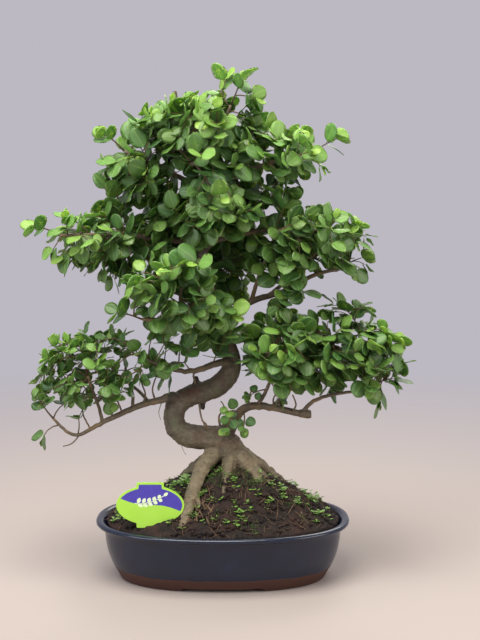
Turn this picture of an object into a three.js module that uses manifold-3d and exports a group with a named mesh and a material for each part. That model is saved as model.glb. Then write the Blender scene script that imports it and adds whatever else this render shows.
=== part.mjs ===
// A Chinese privet grown as a bonsai: an S-curved trunk on spreading surface roots, woody branches
// and sprays of small oval leaves, planted on a mound of soil in an oval glazed pot with four feet.
//
// Millimetres, +Z up, X to the viewer's right and Y away from the viewer. Shapes are drawn about the
// middle of the pot's underside, and the finished part is moved so that its origin is the middle of
// its whole box, on the surface that the pot stands on.

import * as THREE from "three";
import Module from "manifold-3d";

const wasm = await Module();
wasm.setup();

// Pot: an oval with straightened sides
const LIP_A = 147; // half the length over the lip
const LIP_B = 100; // half the depth over the lip
const OVALNESS = 2.35; // exponent of the oval: 2 is an ellipse, more is squarer
const OVAL_SEGMENTS = 36;
const FLOOR_TOP = 11;
const FLOOR_UNDER = 5;
const FOOT_NOTCH_HEIGHT = 4; // the notches in the foot ring leave four feet
const FOOT_NOTCH_FRONT = 92;
const FOOT_NOTCH_SIDE = 44;
const DRAIN_RADIUS = 9;
const DRAIN_X = 62;

// Rings of the pot from the edge of its underside, out under the foot, up the body and round the lip,
// and down inside to the floor: how far in from the lip's edge, and height
const potRings = [
  [38, FLOOR_UNDER],
  [37, 0],
  [27, 0],
  [22, 11],
  [20, 13.5],
  [14, 27],
  [10.5, 45],
  [9.5, 59.5],
  [1, 62.5],
  [0, 65.5],
  [2.5, 68],
  [8, 68],
  [15, 58],
  [19, 30],
  [32, FLOOR_TOP],
];

// Net over each drain hole, under the soil
const NET_SIZE = 28;
const NET_THICK = 1;
const NET_HOLES = 3;
const NET_BAR = 3;

// Soil: a mound that is highest at the tree
const SOIL_A = 135; // half the length and half the depth where it meets the pot
const SOIL_B = 88;
const SOIL_EDGE = 66;
const SOIL_PEAK = 130;
const SOIL_PEAK_X = 8;
const SOIL_ROUND = 1.3; // 1 is a straight cone, more is rounder on top
const SOIL_LUMPS = 1.6;

// Label: an oval plate with a flat tab above and below, on a stake in the soil
const LABEL_AT = [-80, -62, 97];
const LABEL_LEAN = 0.07;
const LABEL_A = 38;
const LABEL_B = 22;
const LABEL_TAB = 15.5; // half the width of the tabs
const LABEL_TOP = 25.5; // half the height over the tabs
const LABEL_THICK = 0.9;
const STAKE_WIDTH = 7;
const STAKE_THICK = 1.8;
const STAKE_TOP = -17; // below the plate's middle
const STAKE_POINT = -50;

// Leaves and twigs
const LEAF_LENGTH = 27;
const LEAF_HALF_WIDTH = 9.5;
const LEAF_THICK = 0.7;
const TWIG_WIDTH = 1.9;
const INTERNODE = 17; // from one pair of leaves to the next
const BARE_TIP = 5; // from the last pair to the twig's end
const SHORTEST_TWIG = 30;
const THREE_PAIR_TWIG = 42; // a twig longer than this carries three pairs, and a shorter one two
const TIP_REACH = 20; // how far the last leaf stands past the end of its twig
const BUD_SPACING = 7; // least distance between sprays along the wood

// Wood: how uneven its rings are, as shares of the radius
const TRUNK_SWELL = 0.035;
const ROOT_SWELL = 0.05;

const GAP = 0.3; // clearance between pieces that rest against each other

const up = new THREE.Vector3(0, 0, 1);
const vec = (x, y, z) => new THREE.Vector3(x, y, z);
const { lerp: mix, clamp } = THREE.MathUtils;

// Draws from 0 to 1, the same row of them for the same seed.
function seeded(seed) {
  let state = seed >>> 0;
  return () => {
    state = (Math.imul(state, 1664525) + 1013904223) >>> 0;
    return state / 2 ** 32;
  };
}

// Solids

// A solid from its corners and triangles, turned so that its faces point out.
function solid(corners, triangles) {
  const build = (order) => {
    const mesh = new wasm.Mesh({
      numProp: 3,
      vertProperties: new Float32Array(corners.flatMap((p) => p.toArray())),
      triVerts: new Uint32Array(triangles.flatMap((t) => order.map((k) => t[k]))),
    });
    return new wasm.Manifold(mesh);
  };
  const made = build([0, 1, 2]);
  return made.volume() > 0 ? made : build([0, 2, 1]);
}

// A three.js geometry as a solid, with the corners at one place made one.
function solidFrom(geometry) {
  const position = geometry.getAttribute("position");
  const index = geometry.index ? [...geometry.index.array] : [...Array(position.count).keys()];
  const corners = [];
  const known = new Map();
  const merged = index.map((i) => {
    const corner = vec().fromBufferAttribute(position, i);
    const key = corner.toArray().map((v) => v.toFixed(3)).join(" ");
    if (!known.has(key)) known.set(key, corners.push(corner) - 1);
    return known.get(key);
  });
  const triangles = [];
  for (let i = 0; i < merged.length; i += 3) triangles.push(merged.slice(i, i + 3));
  return solid(corners, triangles.filter(([a, b, c]) => a !== b && b !== c && c !== a));
}

// A solid through rings of equally many points, with a flat fan over each end.
function loft(rings) {
  const n = rings[0].length;
  const corners = rings.flat();
  const triangles = [];
  for (let r = 0; r + 1 < rings.length; r++)
    for (let i = 0; i < n; i++) {
      const [a, b] = [r * n + i, r * n + ((i + 1) % n)];
      triangles.push([a, b, b + n], [a, b + n, a + n]);
    }
  for (const start of [0, (rings.length - 1) * n]) {
    const ring = corners.slice(start, start + n);
    const middle = corners.push(ring.reduce((sum, p) => sum.add(p), vec(0, 0, 0)).divideScalar(n)) - 1;
    for (let i = 0; i < n; i++) {
      const [a, b] = [start + i, start + ((i + 1) % n)];
      triangles.push(start ? [a, b, middle] : [b, a, middle]);
    }
  }
  return solid(corners, triangles);
}

// A sheet of triangles as a solid, with the same sheet a step below it and walls between their rims.
function thicken(corners, step, triangles) {
  const n = corners.length;
  const under = corners.map((p) => p.clone().add(step));
  const faces = triangles.flatMap(([a, b, c]) => [[a, b, c], [c + n, b + n, a + n]]);
  const edges = new Set(triangles.flatMap(([a, b, c]) => [`${a} ${b}`, `${b} ${c}`, `${c} ${a}`]));
  for (const edge of edges) {
    const [a, b] = edge.split(" ").map(Number);
    if (!edges.has(`${b} ${a}`)) faces.push([b, a, a + n], [b, a + n, b + n]);
  }
  return solid([...corners, ...under], faces);
}

const joined = (solids) => solids.reduce((whole, next) => whole.add(next));
const largest = (whole) => whole.decompose().reduce((a, b) => (a.volume() > b.volume() ? a : b));

// A round limb along a line of x, y, z, radius, with a trunk's swells if it has any. Grown, it is
// larger all round by that much.
function limb(line, sides, swell = 0, grow = 0) {
  let across = vec(0, 1, 0);
  const rings = line.map(([x, y, z, radius], i) => {
    const before = vec(...line[Math.max(i - 1, 0)]);
    const ahead = vec(...line[Math.min(i + 1, line.length - 1)]).sub(before).normalize();
    across = across.addScaledVector(ahead, -across.dot(ahead)).normalize();
    const third = ahead.clone().cross(across);
    const end = (i === line.length - 1) - (i === 0);
    const middle = vec(x, y, z).addScaledVector(ahead, end * grow);
    return Array.from({ length: sides }, (_, k) => {
      const turn = (2 * Math.PI * k) / sides;
      const wave = 1 + swell * (Math.sin(2 * turn + 0.7 * i) + 0.7 * Math.sin(3 * turn - 0.45 * i));
      const reach = radius * wave + grow;
      const point = middle.clone().addScaledVector(across, reach * Math.cos(turn));
      return point.addScaledVector(third, reach * Math.sin(turn));
    });
  });
  return loft(rings);
}

// Pot

// The pot's oval, that far in from the lip's edge.
function oval(inset, z) {
  const rounded = (v) => Math.sign(v) * Math.abs(v) ** (2 / OVALNESS);
  return Array.from({ length: OVAL_SEGMENTS }, (_, i) => {
    const turn = (2 * Math.PI * (i + 0.5)) / OVAL_SEGMENTS;
    return vec((LIP_A - inset) * rounded(Math.cos(turn)), (LIP_B - inset) * rounded(Math.sin(turn)), z);
  });
}

// The pot with its foot ring notched into four feet and its drain holes cut.
function makePot() {
  const box = (w, d, h) => solidFrom(new THREE.BoxGeometry(w, d, h));
  const drain = new THREE.CylinderGeometry(DRAIN_RADIUS, DRAIN_RADIUS, 3 * FLOOR_TOP, 16);
  drain.rotateX(Math.PI / 2);
  const cuts = [
    box(FOOT_NOTCH_FRONT, 3 * LIP_B, 2 * FOOT_NOTCH_HEIGHT),
    box(3 * LIP_A, FOOT_NOTCH_SIDE, 2 * FOOT_NOTCH_HEIGHT),
    solidFrom(drain.clone().translate(-DRAIN_X, 0, 0)),
    solidFrom(drain.clone().translate(DRAIN_X, 0, 0)),
  ];
  const body = loft(potRings.map(([inset, z]) => oval(inset, z)));
  return cuts.reduce((pot, cut) => pot.subtract(cut), body);
}

// Drain nets

// The square net over the drain hole at that x.
function makeDrainNet(x) {
  const pitch = (NET_SIZE - NET_BAR) / NET_HOLES;
  const open = pitch - NET_BAR;
  const holes = [];
  for (let i = 0; i < NET_HOLES; i++)
    for (let j = 0; j < NET_HOLES; j++) {
      const [u, v] = [i, j].map((k) => (k - (NET_HOLES - 1) / 2) * pitch);
      holes.push(solidFrom(new THREE.BoxGeometry(open, open, 3 * NET_THICK).translate(u, v, 0)));
    }
  const sheet = solidFrom(new THREE.BoxGeometry(NET_SIZE, NET_SIZE, NET_THICK));
  return sheet.subtract(joined(holes)).translate(x, 0, FLOOR_TOP + GAP + NET_THICK / 2);
}

// Label

// The plate's outline, larger all round by that much.
function labelOutline(grow) {
  const [long, high, tab, top] = [LABEL_A, LABEL_B, LABEL_TAB, LABEL_TOP].map((size) => size + grow);
  const turn = Math.acos(tab / long);
  const outline = new THREE.Shape();
  outline.moveTo(tab, -high * Math.sin(turn));
  outline.absellipse(0, 0, long, high, -turn, turn);
  outline.lineTo(tab - 1, top);
  outline.lineTo(1 - tab, top);
  outline.lineTo(-tab, high * Math.sin(turn));
  outline.absellipse(0, 0, long, high, Math.PI - turn, Math.PI + turn);
  outline.lineTo(1 - tab, -top);
  outline.lineTo(tab - 1, -top);
  return outline;
}

// The stake's outline below the plate, pointed at its foot.
function stakeOutline(grow) {
  const half = STAKE_WIDTH / 2 + grow;
  const sides = [[half, STAKE_TOP], [-half, STAKE_TOP], [-half, STAKE_POINT + 8], [0, STAKE_POINT - grow]];
  return new THREE.Shape([...sides, [half, STAKE_POINT + 8]].map((corner) => new THREE.Vector2(...corner)));
}

// The plate and its stake, or the room that they take up in the soil when they are grown.
function makeLabel(grow = 0) {
  const layer = (outline, thick, back) => {
    const depth = thick + 2 * grow;
    const sheet = new THREE.ExtrudeGeometry(outline, { depth, bevelEnabled: false, curveSegments: 9 });
    sheet.translate(0, 0, -back - grow).rotateX(Math.PI / 2 - LABEL_LEAN).translate(...LABEL_AT);
    return solidFrom(sheet);
  };
  const plate = layer(labelOutline(grow), LABEL_THICK, 0);
  return plate.add(layer(stakeOutline(grow), STAKE_THICK, STAKE_THICK - LABEL_THICK / 2));
}

// Soil

// How far out over the mound a point is, from 0 at the top to 1 at the pot's wall.
function soilReach(x, y) {
  const long = SOIL_A + (x < SOIL_PEAK_X ? SOIL_PEAK_X : -SOIL_PEAK_X);
  const across = (Math.abs(x - SOIL_PEAK_X) / long) ** OVALNESS;
  return Math.min(1, (across + (Math.abs(y) / SOIL_B) ** OVALNESS) ** (1 / OVALNESS));
}

// The mound's height over the underside of the feet.
function soilHeight(x, y) {
  const reach = soilReach(x, y);
  const lumps = SOIL_LUMPS * Math.sin(x / 9 + y / 23) * Math.cos(y / 8 - x / 31);
  return mix(SOIL_PEAK, SOIL_EDGE, reach ** SOIL_ROUND) + lumps * Math.sqrt(reach * (1 - reach));
}

// The soil that fills the pot, open round the tree, the label's stake and the nets.
function makeSoil() {
  const side = [[32.6, FLOOR_TOP + GAP], [19.4, 30], [15.4, 58], [12.4, 62.5]];
  const mound = [0.04, 0.18, 0.34, 0.5, 0.66, 0.82, 0.94].map((share) =>
    oval(12.4, 0).map((p) => {
      const [x, y] = [mix(p.x, SOIL_PEAK_X, share), mix(p.y, 0, share)];
      return vec(x, y, soilHeight(x, y));
    }),
  );
  const room = NET_SIZE + 2 * GAP;
  const netRooms = [-DRAIN_X, DRAIN_X].map((x) =>
    solidFrom(new THREE.BoxGeometry(room, room, 4 * GAP + 2 * NET_THICK).translate(x, 0, FLOOR_TOP)),
  );
  const heap = loft([...side.map(([inset, z]) => oval(inset, z)), ...mound]);
  return largest(heap.subtract(joined([makeTree(GAP), makeLabel(GAP), ...netRooms])));
}

// Tree

// Trunk from inside the mound to the cut top: x, y, z, radius
const trunkLine = [
  [12, 6, 100, 21],
  [12, 5, 122, 19],
  [10, 2, 143, 17],
  [-3, -1, 158, 15],
  [-22, -4, 161, 14],
  [-41, -5, 164, 13],
  [-53, -4, 173, 12],
  [-56, -2, 187, 11.5],
  [-50, 0, 201, 12],
  [-37, 2, 209, 12.5],
  [-19, 4, 214, 12.5],
  [-3, 5, 222, 13],
  [8, 4, 235, 11.5],
  [11, 2, 251, 10],
  [6, 0, 271, 8],
  [-2, -2, 292, 7.2],
  [-10, -3, 315, 6.8],
  [-17, -2, 341, 6.4],
  [-22, 0, 368, 6],
  [-23, 3, 395, 5.7],
  [-25, 4, 422, 5.3],
  [-31, 2, 452, 4.8],
  [-39, 0, 484, 4],
  [-46, -3, 516, 3],
  [-51, -5, 545, 2.2],
];

// Surface roots: x, y, height of the middle above the soil, radius
const rootLines = [
  [
    [6, -2, 16, 12], [-12, -10, 18, 9], [-24, -24, 14, 7.5], [-33, -42, 7, 6], [-39, -58, 2, 5],
    [-44, -70, -6, 3.5],
  ],
  [[8, -4, 10, 10], [8, -20, 12, 7.5], [4, -34, 7, 5.5], [0, -48, 0, 4], [-3, -58, -7, 3]],
  [[12, 0, 12, 12], [28, -8, 12, 9], [36, -20, 8, 7], [46, -36, 1, 5], [54, -48, -7, 3.5]],
  [[12, 4, 10, 12], [34, 8, 9, 8.5], [54, 14, 3, 6.5], [72, 20, -3, 4.5], [84, 23, -8, 3]],
  [[10, 8, 10, 12], [8, 26, 9, 8.5], [0, 44, 3, 6.5], [-8, 58, -5, 4.5]],
  [[4, 4, 10, 12], [-18, 14, 8, 8.5], [-38, 24, 3, 6.5], [-58, 30, -6, 4]],
];

// Woody branches, each from the middle of the wood that carries it: x, y, z, radius
const branches = {
  low_left: [
    [-50, 0, 201, 7], [-59, -4, 208, 6], [-69, -7, 206, 4.4], [-84, -9, 203, 3.8], [-103, -12, 197, 3.4],
    [-121, -15, 189, 3], [-137, -18, 182, 2.7], [-151, -20, 174, 2.3], [-165, -22, 168, 2],
    [-178, -24, 173, 1.8], [-192, -26, 188, 1.5],
  ],
  low_left_rise: [[-137, -18, 182, 2.2], [-141, -19, 200, 1.9], [-148, -20, 220, 1.7], [-153, -20, 236, 1.5]],
  low_left_inner: [[-103, -12, 197, 2.2], [-103, -10, 212, 1.9], [-108, -6, 228, 1.7], [-112, 0, 242, 1.5]],
  low_left_back: [[-84, -9, 203, 2.4], [-96, 8, 212, 2], [-112, 22, 222, 1.7], [-130, 30, 232, 1.5]],
  mid_low_left: [
    [9, 2, 247, 7], [3, -8, 250, 4.8], [-8, -13, 249, 4], [-22, -16, 244, 3.5], [-36, -18, 241, 3],
    [-55, -20, 243, 2.5], [-78, -23, 252, 2], [-100, -24, 262, 1.6],
  ],
  front: [
    [-10, -3, 315, 5], [-26, -18, 314, 3.6], [-45, -34, 308, 3], [-66, -46, 304, 2.4], [-88, -50, 304, 1.8],
  ],
  front_rise: [[-45, -34, 308, 2.4], [-46, -50, 324, 2], [-44, -62, 340, 1.6]],
  low_right: [
    [-2, 0, 161, 8], [10, 4, 176, 6], [20, 3, 190, 5.4], [32, 0, 197, 4.8], [50, -4, 198, 4.3],
    [70, -6, 194, 4], [88, -6, 190, 3.8], [97, -6, 189, 3.4],
  ],
  low_right_rise: [
    [58, -5, 197, 3], [72, -8, 213, 2.8], [86, -10, 232, 2.5], [100, -9, 246, 2.2], [120, -7, 258, 1.9],
    [142, -5, 268, 1.5],
  ],
  low_right_inner: [[40, -2, 198, 2.6], [48, -10, 214, 2.2], [56, -16, 234, 1.9], [60, -20, 256, 1.5]],
  low_right_back: [[66, -5, 195, 2.8], [76, 14, 212, 2.4], [88, 34, 232, 2], [100, 46, 250, 1.6]],
  low_right_tip: [
    [91, -6, 190, 2.6], [102, -9, 203, 2.3], [122, -12, 212, 2], [146, -12, 216, 1.7], [168, -10, 219, 1.5],
  ],
  mid_right: [
    [1, -1, 284, 6], [12, 3, 300, 4.4], [24, 5, 313, 4.2], [40, 6, 321, 3.8], [58, 6, 326, 3.4],
    [76, 5, 333, 3], [94, 3, 344, 2.6], [114, 0, 352, 2.2], [134, 0, 356, 1.8],
  ],
  mid_right_rise: [[32, 6, 317, 2.8], [38, 0, 336, 2.4], [44, -8, 356, 2], [52, -14, 374, 1.6]],
  mid_right_back: [[52, 6, 324, 2.8], [66, 24, 334, 2.4], [84, 42, 346, 2], [100, 52, 354, 1.6]],
  back: [[-12, -3, 322, 5], [-12, 18, 328, 3.4], [-18, 36, 334, 2.8], [-28, 52, 340, 2]],
  upper_right: [
    [-22, 1, 380, 5], [-4, -3, 390, 3.6], [26, -6, 397, 3], [58, -6, 402, 2.6], [90, -5, 402, 2.2],
    [120, -3, 397, 1.7],
  ],
  upper_left: [
    [-23, 2, 388, 5], [-44, -1, 387, 3.8], [-74, -5, 391, 3.3], [-105, -8, 395, 2.8], [-135, -9, 396, 2.4],
    [-165, -10, 395, 1.9], [-184, -10, 395, 1.5],
  ],
  upper_front: [[-20, -1, 358, 5], [-24, -22, 366, 3.2], [-26, -40, 368, 2.6], [-28, -54, 366, 2]],
  upper_back: [[-24, 4, 408, 5], [-20, 24, 406, 3.2], [-22, 42, 404, 2.6], [-26, 56, 402, 2]],
  crown_left: [
    [-31, 2, 450, 4], [-50, 0, 461, 2.9], [-74, -4, 472, 2.5], [-96, -6, 482, 2], [-110, -6, 489, 1.6],
  ],
  crown_right: [
    [-28, 3, 438, 4], [-6, 1, 452, 3.2], [24, -2, 466, 2.8], [54, -3, 476, 2.4], [84, -2, 484, 2],
    [104, -2, 489, 1.6],
  ],
  crown_top: [
    [-38, 0, 480, 3.6], [-25, -2, 496, 2.8], [-8, -4, 513, 2.4], [4, -4, 528, 2], [10, -4, 540, 1.6],
  ],
  crown_front: [[-36, 1, 470, 3.6], [-34, -22, 474, 2.8], [-29, -40, 475, 2.1]],
  crown_back: [[-34, 2, 462, 3.6], [-28, 26, 470, 2.8], [-20, 46, 474, 2.1]],
};

// Trunk, roots and branches, which grew as one piece.
function makeTree(grow = 0) {
  const trunk = limb(trunkLine, 10, TRUNK_SWELL, grow);
  const roots = rootLines.map((root) => {
    const line = root.map(([x, y, lift, radius]) => [x, y, soilHeight(x, y) + lift, radius]);
    return limb(line, 7, ROOT_SWELL, grow);
  });
  const boughs = Object.values(branches).map((line) => limb(line, 5, 0, grow));
  return joined([trunk, ...roots, ...boughs]);
}

// Foliage

// The room that the foliage fills: middle and half size along x, y, z of each pad
const pads = [
  [[-36, -2, 512], [72, 60, 46]],
  [[16, -4, 554], [36, 26, 27]],
  [[66, -2, 484], [76, 48, 36]],
  [[-96, -4, 476], [50, 46, 42]],
  [[-138, -8, 392], [84, 48, 40]],
  [[100, -4, 386], [76, 52, 48]],
  [[-6, 0, 424], [62, 80, 46]],
  [[-52, -52, 332], [60, 44, 46]],
  [[-14, 56, 350], [62, 42, 46]],
  [[-154, -12, 242], [80, 48, 58]],
  [[-74, -24, 272], [48, 36, 30]],
  [[70, -8, 264], [54, 60, 48]],
  [[150, -8, 256], [66, 46, 54]],
];
const SPRAYS = 52;
const LOW_SHOOT = [24, -26, 176]; // the end of a shoot that hangs before the foot of the trunk
const CUT_BRANCH = "low_right"; // ends in a bare stub

// A leaf's outline as shares of its length and half width, from its near edge round the tip, and its
// faces. Corners 0 to 4 are the outline, and 5 and 6 the two ends of its root on the twig.
const leafOutline = [[0.34, -0.95], [0.7, -0.84], [1, 0], [0.7, 0.84], [0.34, 0.95]];
const leafFaces = [[5, 1, 0], [5, 2, 1], [5, 6, 2], [6, 3, 2], [6, 4, 3]];
const leafRim = [[0, 5], [1, 0], [2, 1], [3, 2], [4, 3], [6, 4]];

// The corners of a leaf's rim, folded up along its middle and drooping to its tip.
function leafPoints(leaf) {
  return leafOutline.map(([u, v]) => {
    const raised = leaf.fold * Math.abs(v) * leaf.halfWidth - leaf.droop * leaf.length * u * u;
    const point = leaf.root.clone().addScaledVector(leaf.ahead, u * leaf.length);
    return point.addScaledVector(leaf.across, v * leaf.halfWidth).addScaledVector(leaf.normal, raised);
  });
}

// The room that a leaf needs past its own twig, a little thicker than the leaf.
function leafRoom(leaf) {
  const foot = leaf.root.clone().addScaledVector(leaf.ahead, 2.2);
  const ends = [-1, 1].map((v) => foot.clone().addScaledVector(leaf.across, v));
  const corners = [...leafPoints(leaf), ...ends].map((p) => p.addScaledVector(leaf.normal, GAP));
  return thicken(corners, leaf.normal.clone().multiplyScalar(-LEAF_THICK - 2 * GAP), leafFaces);
}

// Rooms that are taken, so that nothing crosses them
const taken = { wood: [], twigs: [], leaves: [] };

function claim(kind, room) {
  taken[kind].push({ room, box: room.boundingBox() });
}

const touches = (box, other) =>
  [0, 1, 2].every((k) => box.min[k] < other.max[k] && box.max[k] > other.min[k]);

// Whether nothing of those kinds reaches into a room.
function isClear(room, kinds = Object.keys(taken)) {
  const box = room.boundingBox();
  const missed = (other) => !touches(box, other.box) || room.intersect(other.room).isEmpty();
  return kinds.every((kind) => taken[kind].every(missed));
}

// Takes the room of a leaf, if nothing is in it yet.
function takeRoom(leaf) {
  const room = leafRoom(leaf);
  if (!isClear(room)) return false;
  claim("leaves", room);
  return true;
}

// One leaf on a twig's side that faces out, tried at wider and wider angles until it is clear.
function sideLeaf(root, along, out, light, size, draw) {
  for (let attempt = 0; attempt < 9; attempt++) {
    const spread = (amount) => amount * (draw() - 0.5) * (1 + attempt / 3);
    const angle = mix(0.9, 1.15, draw()) + spread(0.3);
    const ahead = along.clone().multiplyScalar(Math.cos(angle)).addScaledVector(out, Math.sin(angle));
    ahead.addScaledVector(light, 0.12 + spread(0.5)).normalize();
    const flat = along.clone().addScaledVector(ahead, -along.dot(ahead)).normalize();
    const face = flat.clone().cross(ahead);
    face.multiplyScalar(Math.sign(face.dot(light)) || 1);
    const lean = clamp(Math.atan2(flat.dot(light), face.dot(light)), -0.7, 0.7) + spread(0.5);
    const across = flat.clone().multiplyScalar(Math.cos(lean)).addScaledVector(face, -Math.sin(lean));
    const normal = face.multiplyScalar(Math.cos(lean)).addScaledVector(flat, Math.sin(lean));
    const scale = size * (1 - 0.05 * attempt);
    const length = LEAF_LENGTH * scale * mix(0.86, 1.12, draw());
    const halfWidth = LEAF_HALF_WIDTH * scale * mix(0.9, 1.1, draw());
    const leaf = { root, ahead, across, normal, length, halfWidth };
    leaf.fold = mix(0.12, 0.4, draw());
    leaf.droop = mix(0, 0.22, draw());
    if (takeRoom(leaf)) return leaf;
  }
  return null;
}

// The young leaf that ends a twig.
function tipLeaf(root, along, across, lift, size, draw) {
  for (let attempt = 0; attempt < 5; attempt++) {
    const ahead = along.clone().addScaledVector(lift, 0.6 * (draw() - 0.5)).normalize();
    const normal = lift.clone().addScaledVector(ahead, -ahead.dot(lift)).normalize();
    const leaf = { root, ahead, across, normal, fold: 0.3, droop: 0.1 * draw() };
    leaf.length = LEAF_LENGTH * size * mix(0.85, 1.1, draw());
    leaf.halfWidth = LEAF_HALF_WIDTH * size;
    if (takeRoom(leaf)) return leaf;
  }
  return null;
}

// Where a twig has its rings of corners: along its bare part, and before and after each pair of leaves.
function twigStations(from, long, pairs) {
  const first = long - BARE_TIP - (pairs - 1) * INTERNODE;
  const bare = Math.max(1, Math.round((first - from) / 24));
  const stations = Array.from({ length: bare }, (_, i) => mix(from, first, i / bare));
  for (let k = 0; k < pairs; k++) {
    const middle = first + k * INTERNODE;
    stations.push(middle - TWIG_WIDTH / 2, middle + TWIG_WIDTH / 2);
  }
  return { bare, stations: [...stations, long] };
}

// A square twig along a curve, with crosswise pairs of leaves and one leaf at its end, in one mesh:
// each leaf grows out of the open side of the twig between two rings of corners.
function makeTwig(curve, from, light, pairs, size, draw) {
  const long = curve.getLength();
  const { bare, stations } = twigStations(from, long, pairs);
  const corners = [];
  const faces = [];
  const start = curve.getTangentAt(0);
  let side = light.clone().cross(start).normalize().applyAxisAngle(start, Math.PI / 4 + 0.5 * (draw() - 0.5));
  const frames = stations.map((s) => {
    const u = Math.min(1, s / long);
    const [middle, along] = [curve.getPointAt(u), curve.getTangentAt(u)];
    side = side.clone().addScaledVector(along, -along.dot(side)).normalize();
    const lift = along.clone().cross(side);
    const half = mix(TWIG_WIDTH, TWIG_WIDTH * 0.8, u) / 2;
    for (const [a, b] of [[1, 1], [-1, 1], [-1, -1], [1, -1]])
      corners.push(middle.clone().addScaledVector(side, a * half).addScaledVector(lift, b * half));
    return { middle, along, half, outs: [side, lift, side.clone().negate(), lift.clone().negate()] };
  });

  // A leaf's upper face starts at corners a and b and its lower face at a2 and b2. Turned, the mesh's
  // triangles run the other way round.
  const addLeaf = (leaf, [a, b, b2, a2], turned) => {
    const first = corners.length;
    const rim = leafPoints(leaf);
    corners.push(...rim, ...rim.map((p) => p.clone().addScaledVector(leaf.normal, -LEAF_THICK)));
    const top = (k) => [first, first + 1, first + 2, first + 3, first + 4, a, b][k];
    const under = (k) => (k < 5 ? first + rim.length + k : [a2, b2][k - 5]);
    const put = (...face) => faces.push(turned ? face.reverse() : face);
    for (const [p, q, r] of leafFaces) {
      put(top(p), top(q), top(r));
      put(under(r), under(q), under(p));
    }
    for (const [p, q] of leafRim) {
      put(top(q), top(p), under(p));
      put(top(q), under(p), under(q));
    }
  };
  const addSide = (leaf, quad) => {
    const [a, b, b2, a2] = quad;
    if (!leaf) faces.push([a, b, b2], [a, b2, a2]);
    else if (leaf.normal.dot(corners[a].clone().sub(corners[a2])) > 0) addLeaf(leaf, quad, false);
    else addLeaf(leaf, [a2, b2, b, a], true);
  };

  for (let i = 0; i + 1 < stations.length; i++) {
    const pair = (i - bare) / 2;
    for (let f = 0; f < 4; f++) {
      const g = (f + 3) % 4;
      const leafy = pair >= 0 && pair % 2 === f % 2;
      const { middle, along, outs, half } = frames[i];
      const root = middle.clone().addScaledVector(outs[f], half).addScaledVector(along, TWIG_WIDTH / 2);
      const younger = mix(1.06, 0.9, pair / pairs);
      const leaf = leafy ? sideLeaf(root, along, outs[f], light, size * younger, draw) : null;
      addSide(leaf, [4 * i + f, 4 * i + 4 + f, 4 * i + 4 + g, 4 * i + g]);
    }
  }
  faces.push([3, 2, 1], [3, 1, 0]);
  const { middle, along, outs } = frames.at(-1);
  const last = 4 * (stations.length - 1);
  addSide(tipLeaf(middle, along, outs[2], outs[1], size * 0.74, draw), [last, last + 1, last + 2, last + 3]);
  return solid(corners, faces);
}

// The room of a twig's wood between those distances along it.
function twigRoom(curve, stations, grow = GAP) {
  const point = (s) => curve.getPointAt(Math.min(1, s / curve.getLength())).toArray();
  return limb(stations.map((s) => [...point(s), TWIG_WIDTH * 0.72 + grow]), 5);
}

// How far along a twig its wood comes clear of the branch that carries it.
function twigStart(curve) {
  let from = 0;
  while (from < 12 && !isClear(twigRoom(curve, [from, from + 1], 0), ["wood"])) from += 0.2;
  return from;
}

// A twig's middle line, which sets off one way and bends to its end.
function twigCurve(start, away, end, draw) {
  const reach = start.distanceTo(end);
  const bend = vec(draw() - 0.5, draw() - 0.5, draw() - 0.2).multiplyScalar(reach * 0.3);
  const middle = start.clone().addScaledVector(away, reach * 0.45).add(bend);
  return new THREE.QuadraticBezierCurve3(start, middle, end);
}

// The sprays so far, and where they left the wood
const grown = [];
const buds = [];

// The place on the branches that is nearest to a point and not near another spray.
function freeWood(target) {
  let best = null;
  for (const points of Object.values(branches)) {
    const line = points.map((p) => vec(...p));
    for (let i = Math.ceil(line.length / 3); i < line.length; i++)
      for (const share of [0.25, 0.5, 0.75, 1]) {
        const point = line[i - 1].clone().lerp(line[i], share);
        if (buds.some((bud) => bud.distanceTo(point) < BUD_SPACING)) continue;
        if (!best || point.distanceTo(target) < best.distanceTo(target)) best = point;
      }
  }
  return best;
}

// Where the sprays end: first past the end of each branch, and then spread through the pads, each
// as far as it can be from those before it.
function sprayEnds(draw) {
  const ends = [vec(...LOW_SHOOT)];
  for (const [name, line] of Object.entries(branches)) {
    const [before, last] = line.slice(-2).map((p) => vec(...p));
    const run = last.clone().sub(before).normalize().addScaledVector(up, 0.3).normalize();
    if (name !== CUT_BRANCH) ends.push(last.addScaledVector(run, 30));
  }
  const inside = [];
  while (inside.length < 1500) {
    const [at, half] = pads[Math.floor(draw() * pads.length)];
    const way = vec(draw() - 0.5, draw() - 0.5, draw() - 0.5).multiplyScalar(2);
    if (way.length() < 1) inside.push(way.multiply(vec(...half).subScalar(TIP_REACH)).add(vec(...at)));
  }
  while (ends.length < SPRAYS) {
    const room = (point) => Math.min(...ends.map((end) => end.distanceTo(point)));
    const rooms = inside.map(room);
    ends.push(inside[rooms.indexOf(Math.max(...rooms))]);
  }
  return ends;
}

// Where a spray's main twig could run to about that end, or nothing if something is in the way.
function mainPath(end, draw) {
  const wood = freeWood(end);
  const away = end.clone().sub(wood).normalize();
  if (wood.distanceTo(end) < SHORTEST_TWIG) end = wood.clone().addScaledVector(away, SHORTEST_TWIG);
  const curve = twigCurve(wood, away.clone().addScaledVector(up, 0.15).normalize(), end, draw);
  const from = twigStart(curve);
  const pairs = curve.getLength() - from > THREE_PAIR_TWIG ? 3 : 2;
  const { stations } = twigStations(from, curve.getLength(), pairs);
  const room = twigRoom(curve, stations);
  const clear =
    isClear(twigRoom(curve, stations.slice(0, 2), 0), ["wood"]) &&
    isClear(twigRoom(curve, [from + 2, ...stations.slice(1)]), ["wood"]) &&
    isClear(room, ["twigs", "leaves"]);
  return clear ? { curve, from, pairs, wood, away, end, room } : null;
}

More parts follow.
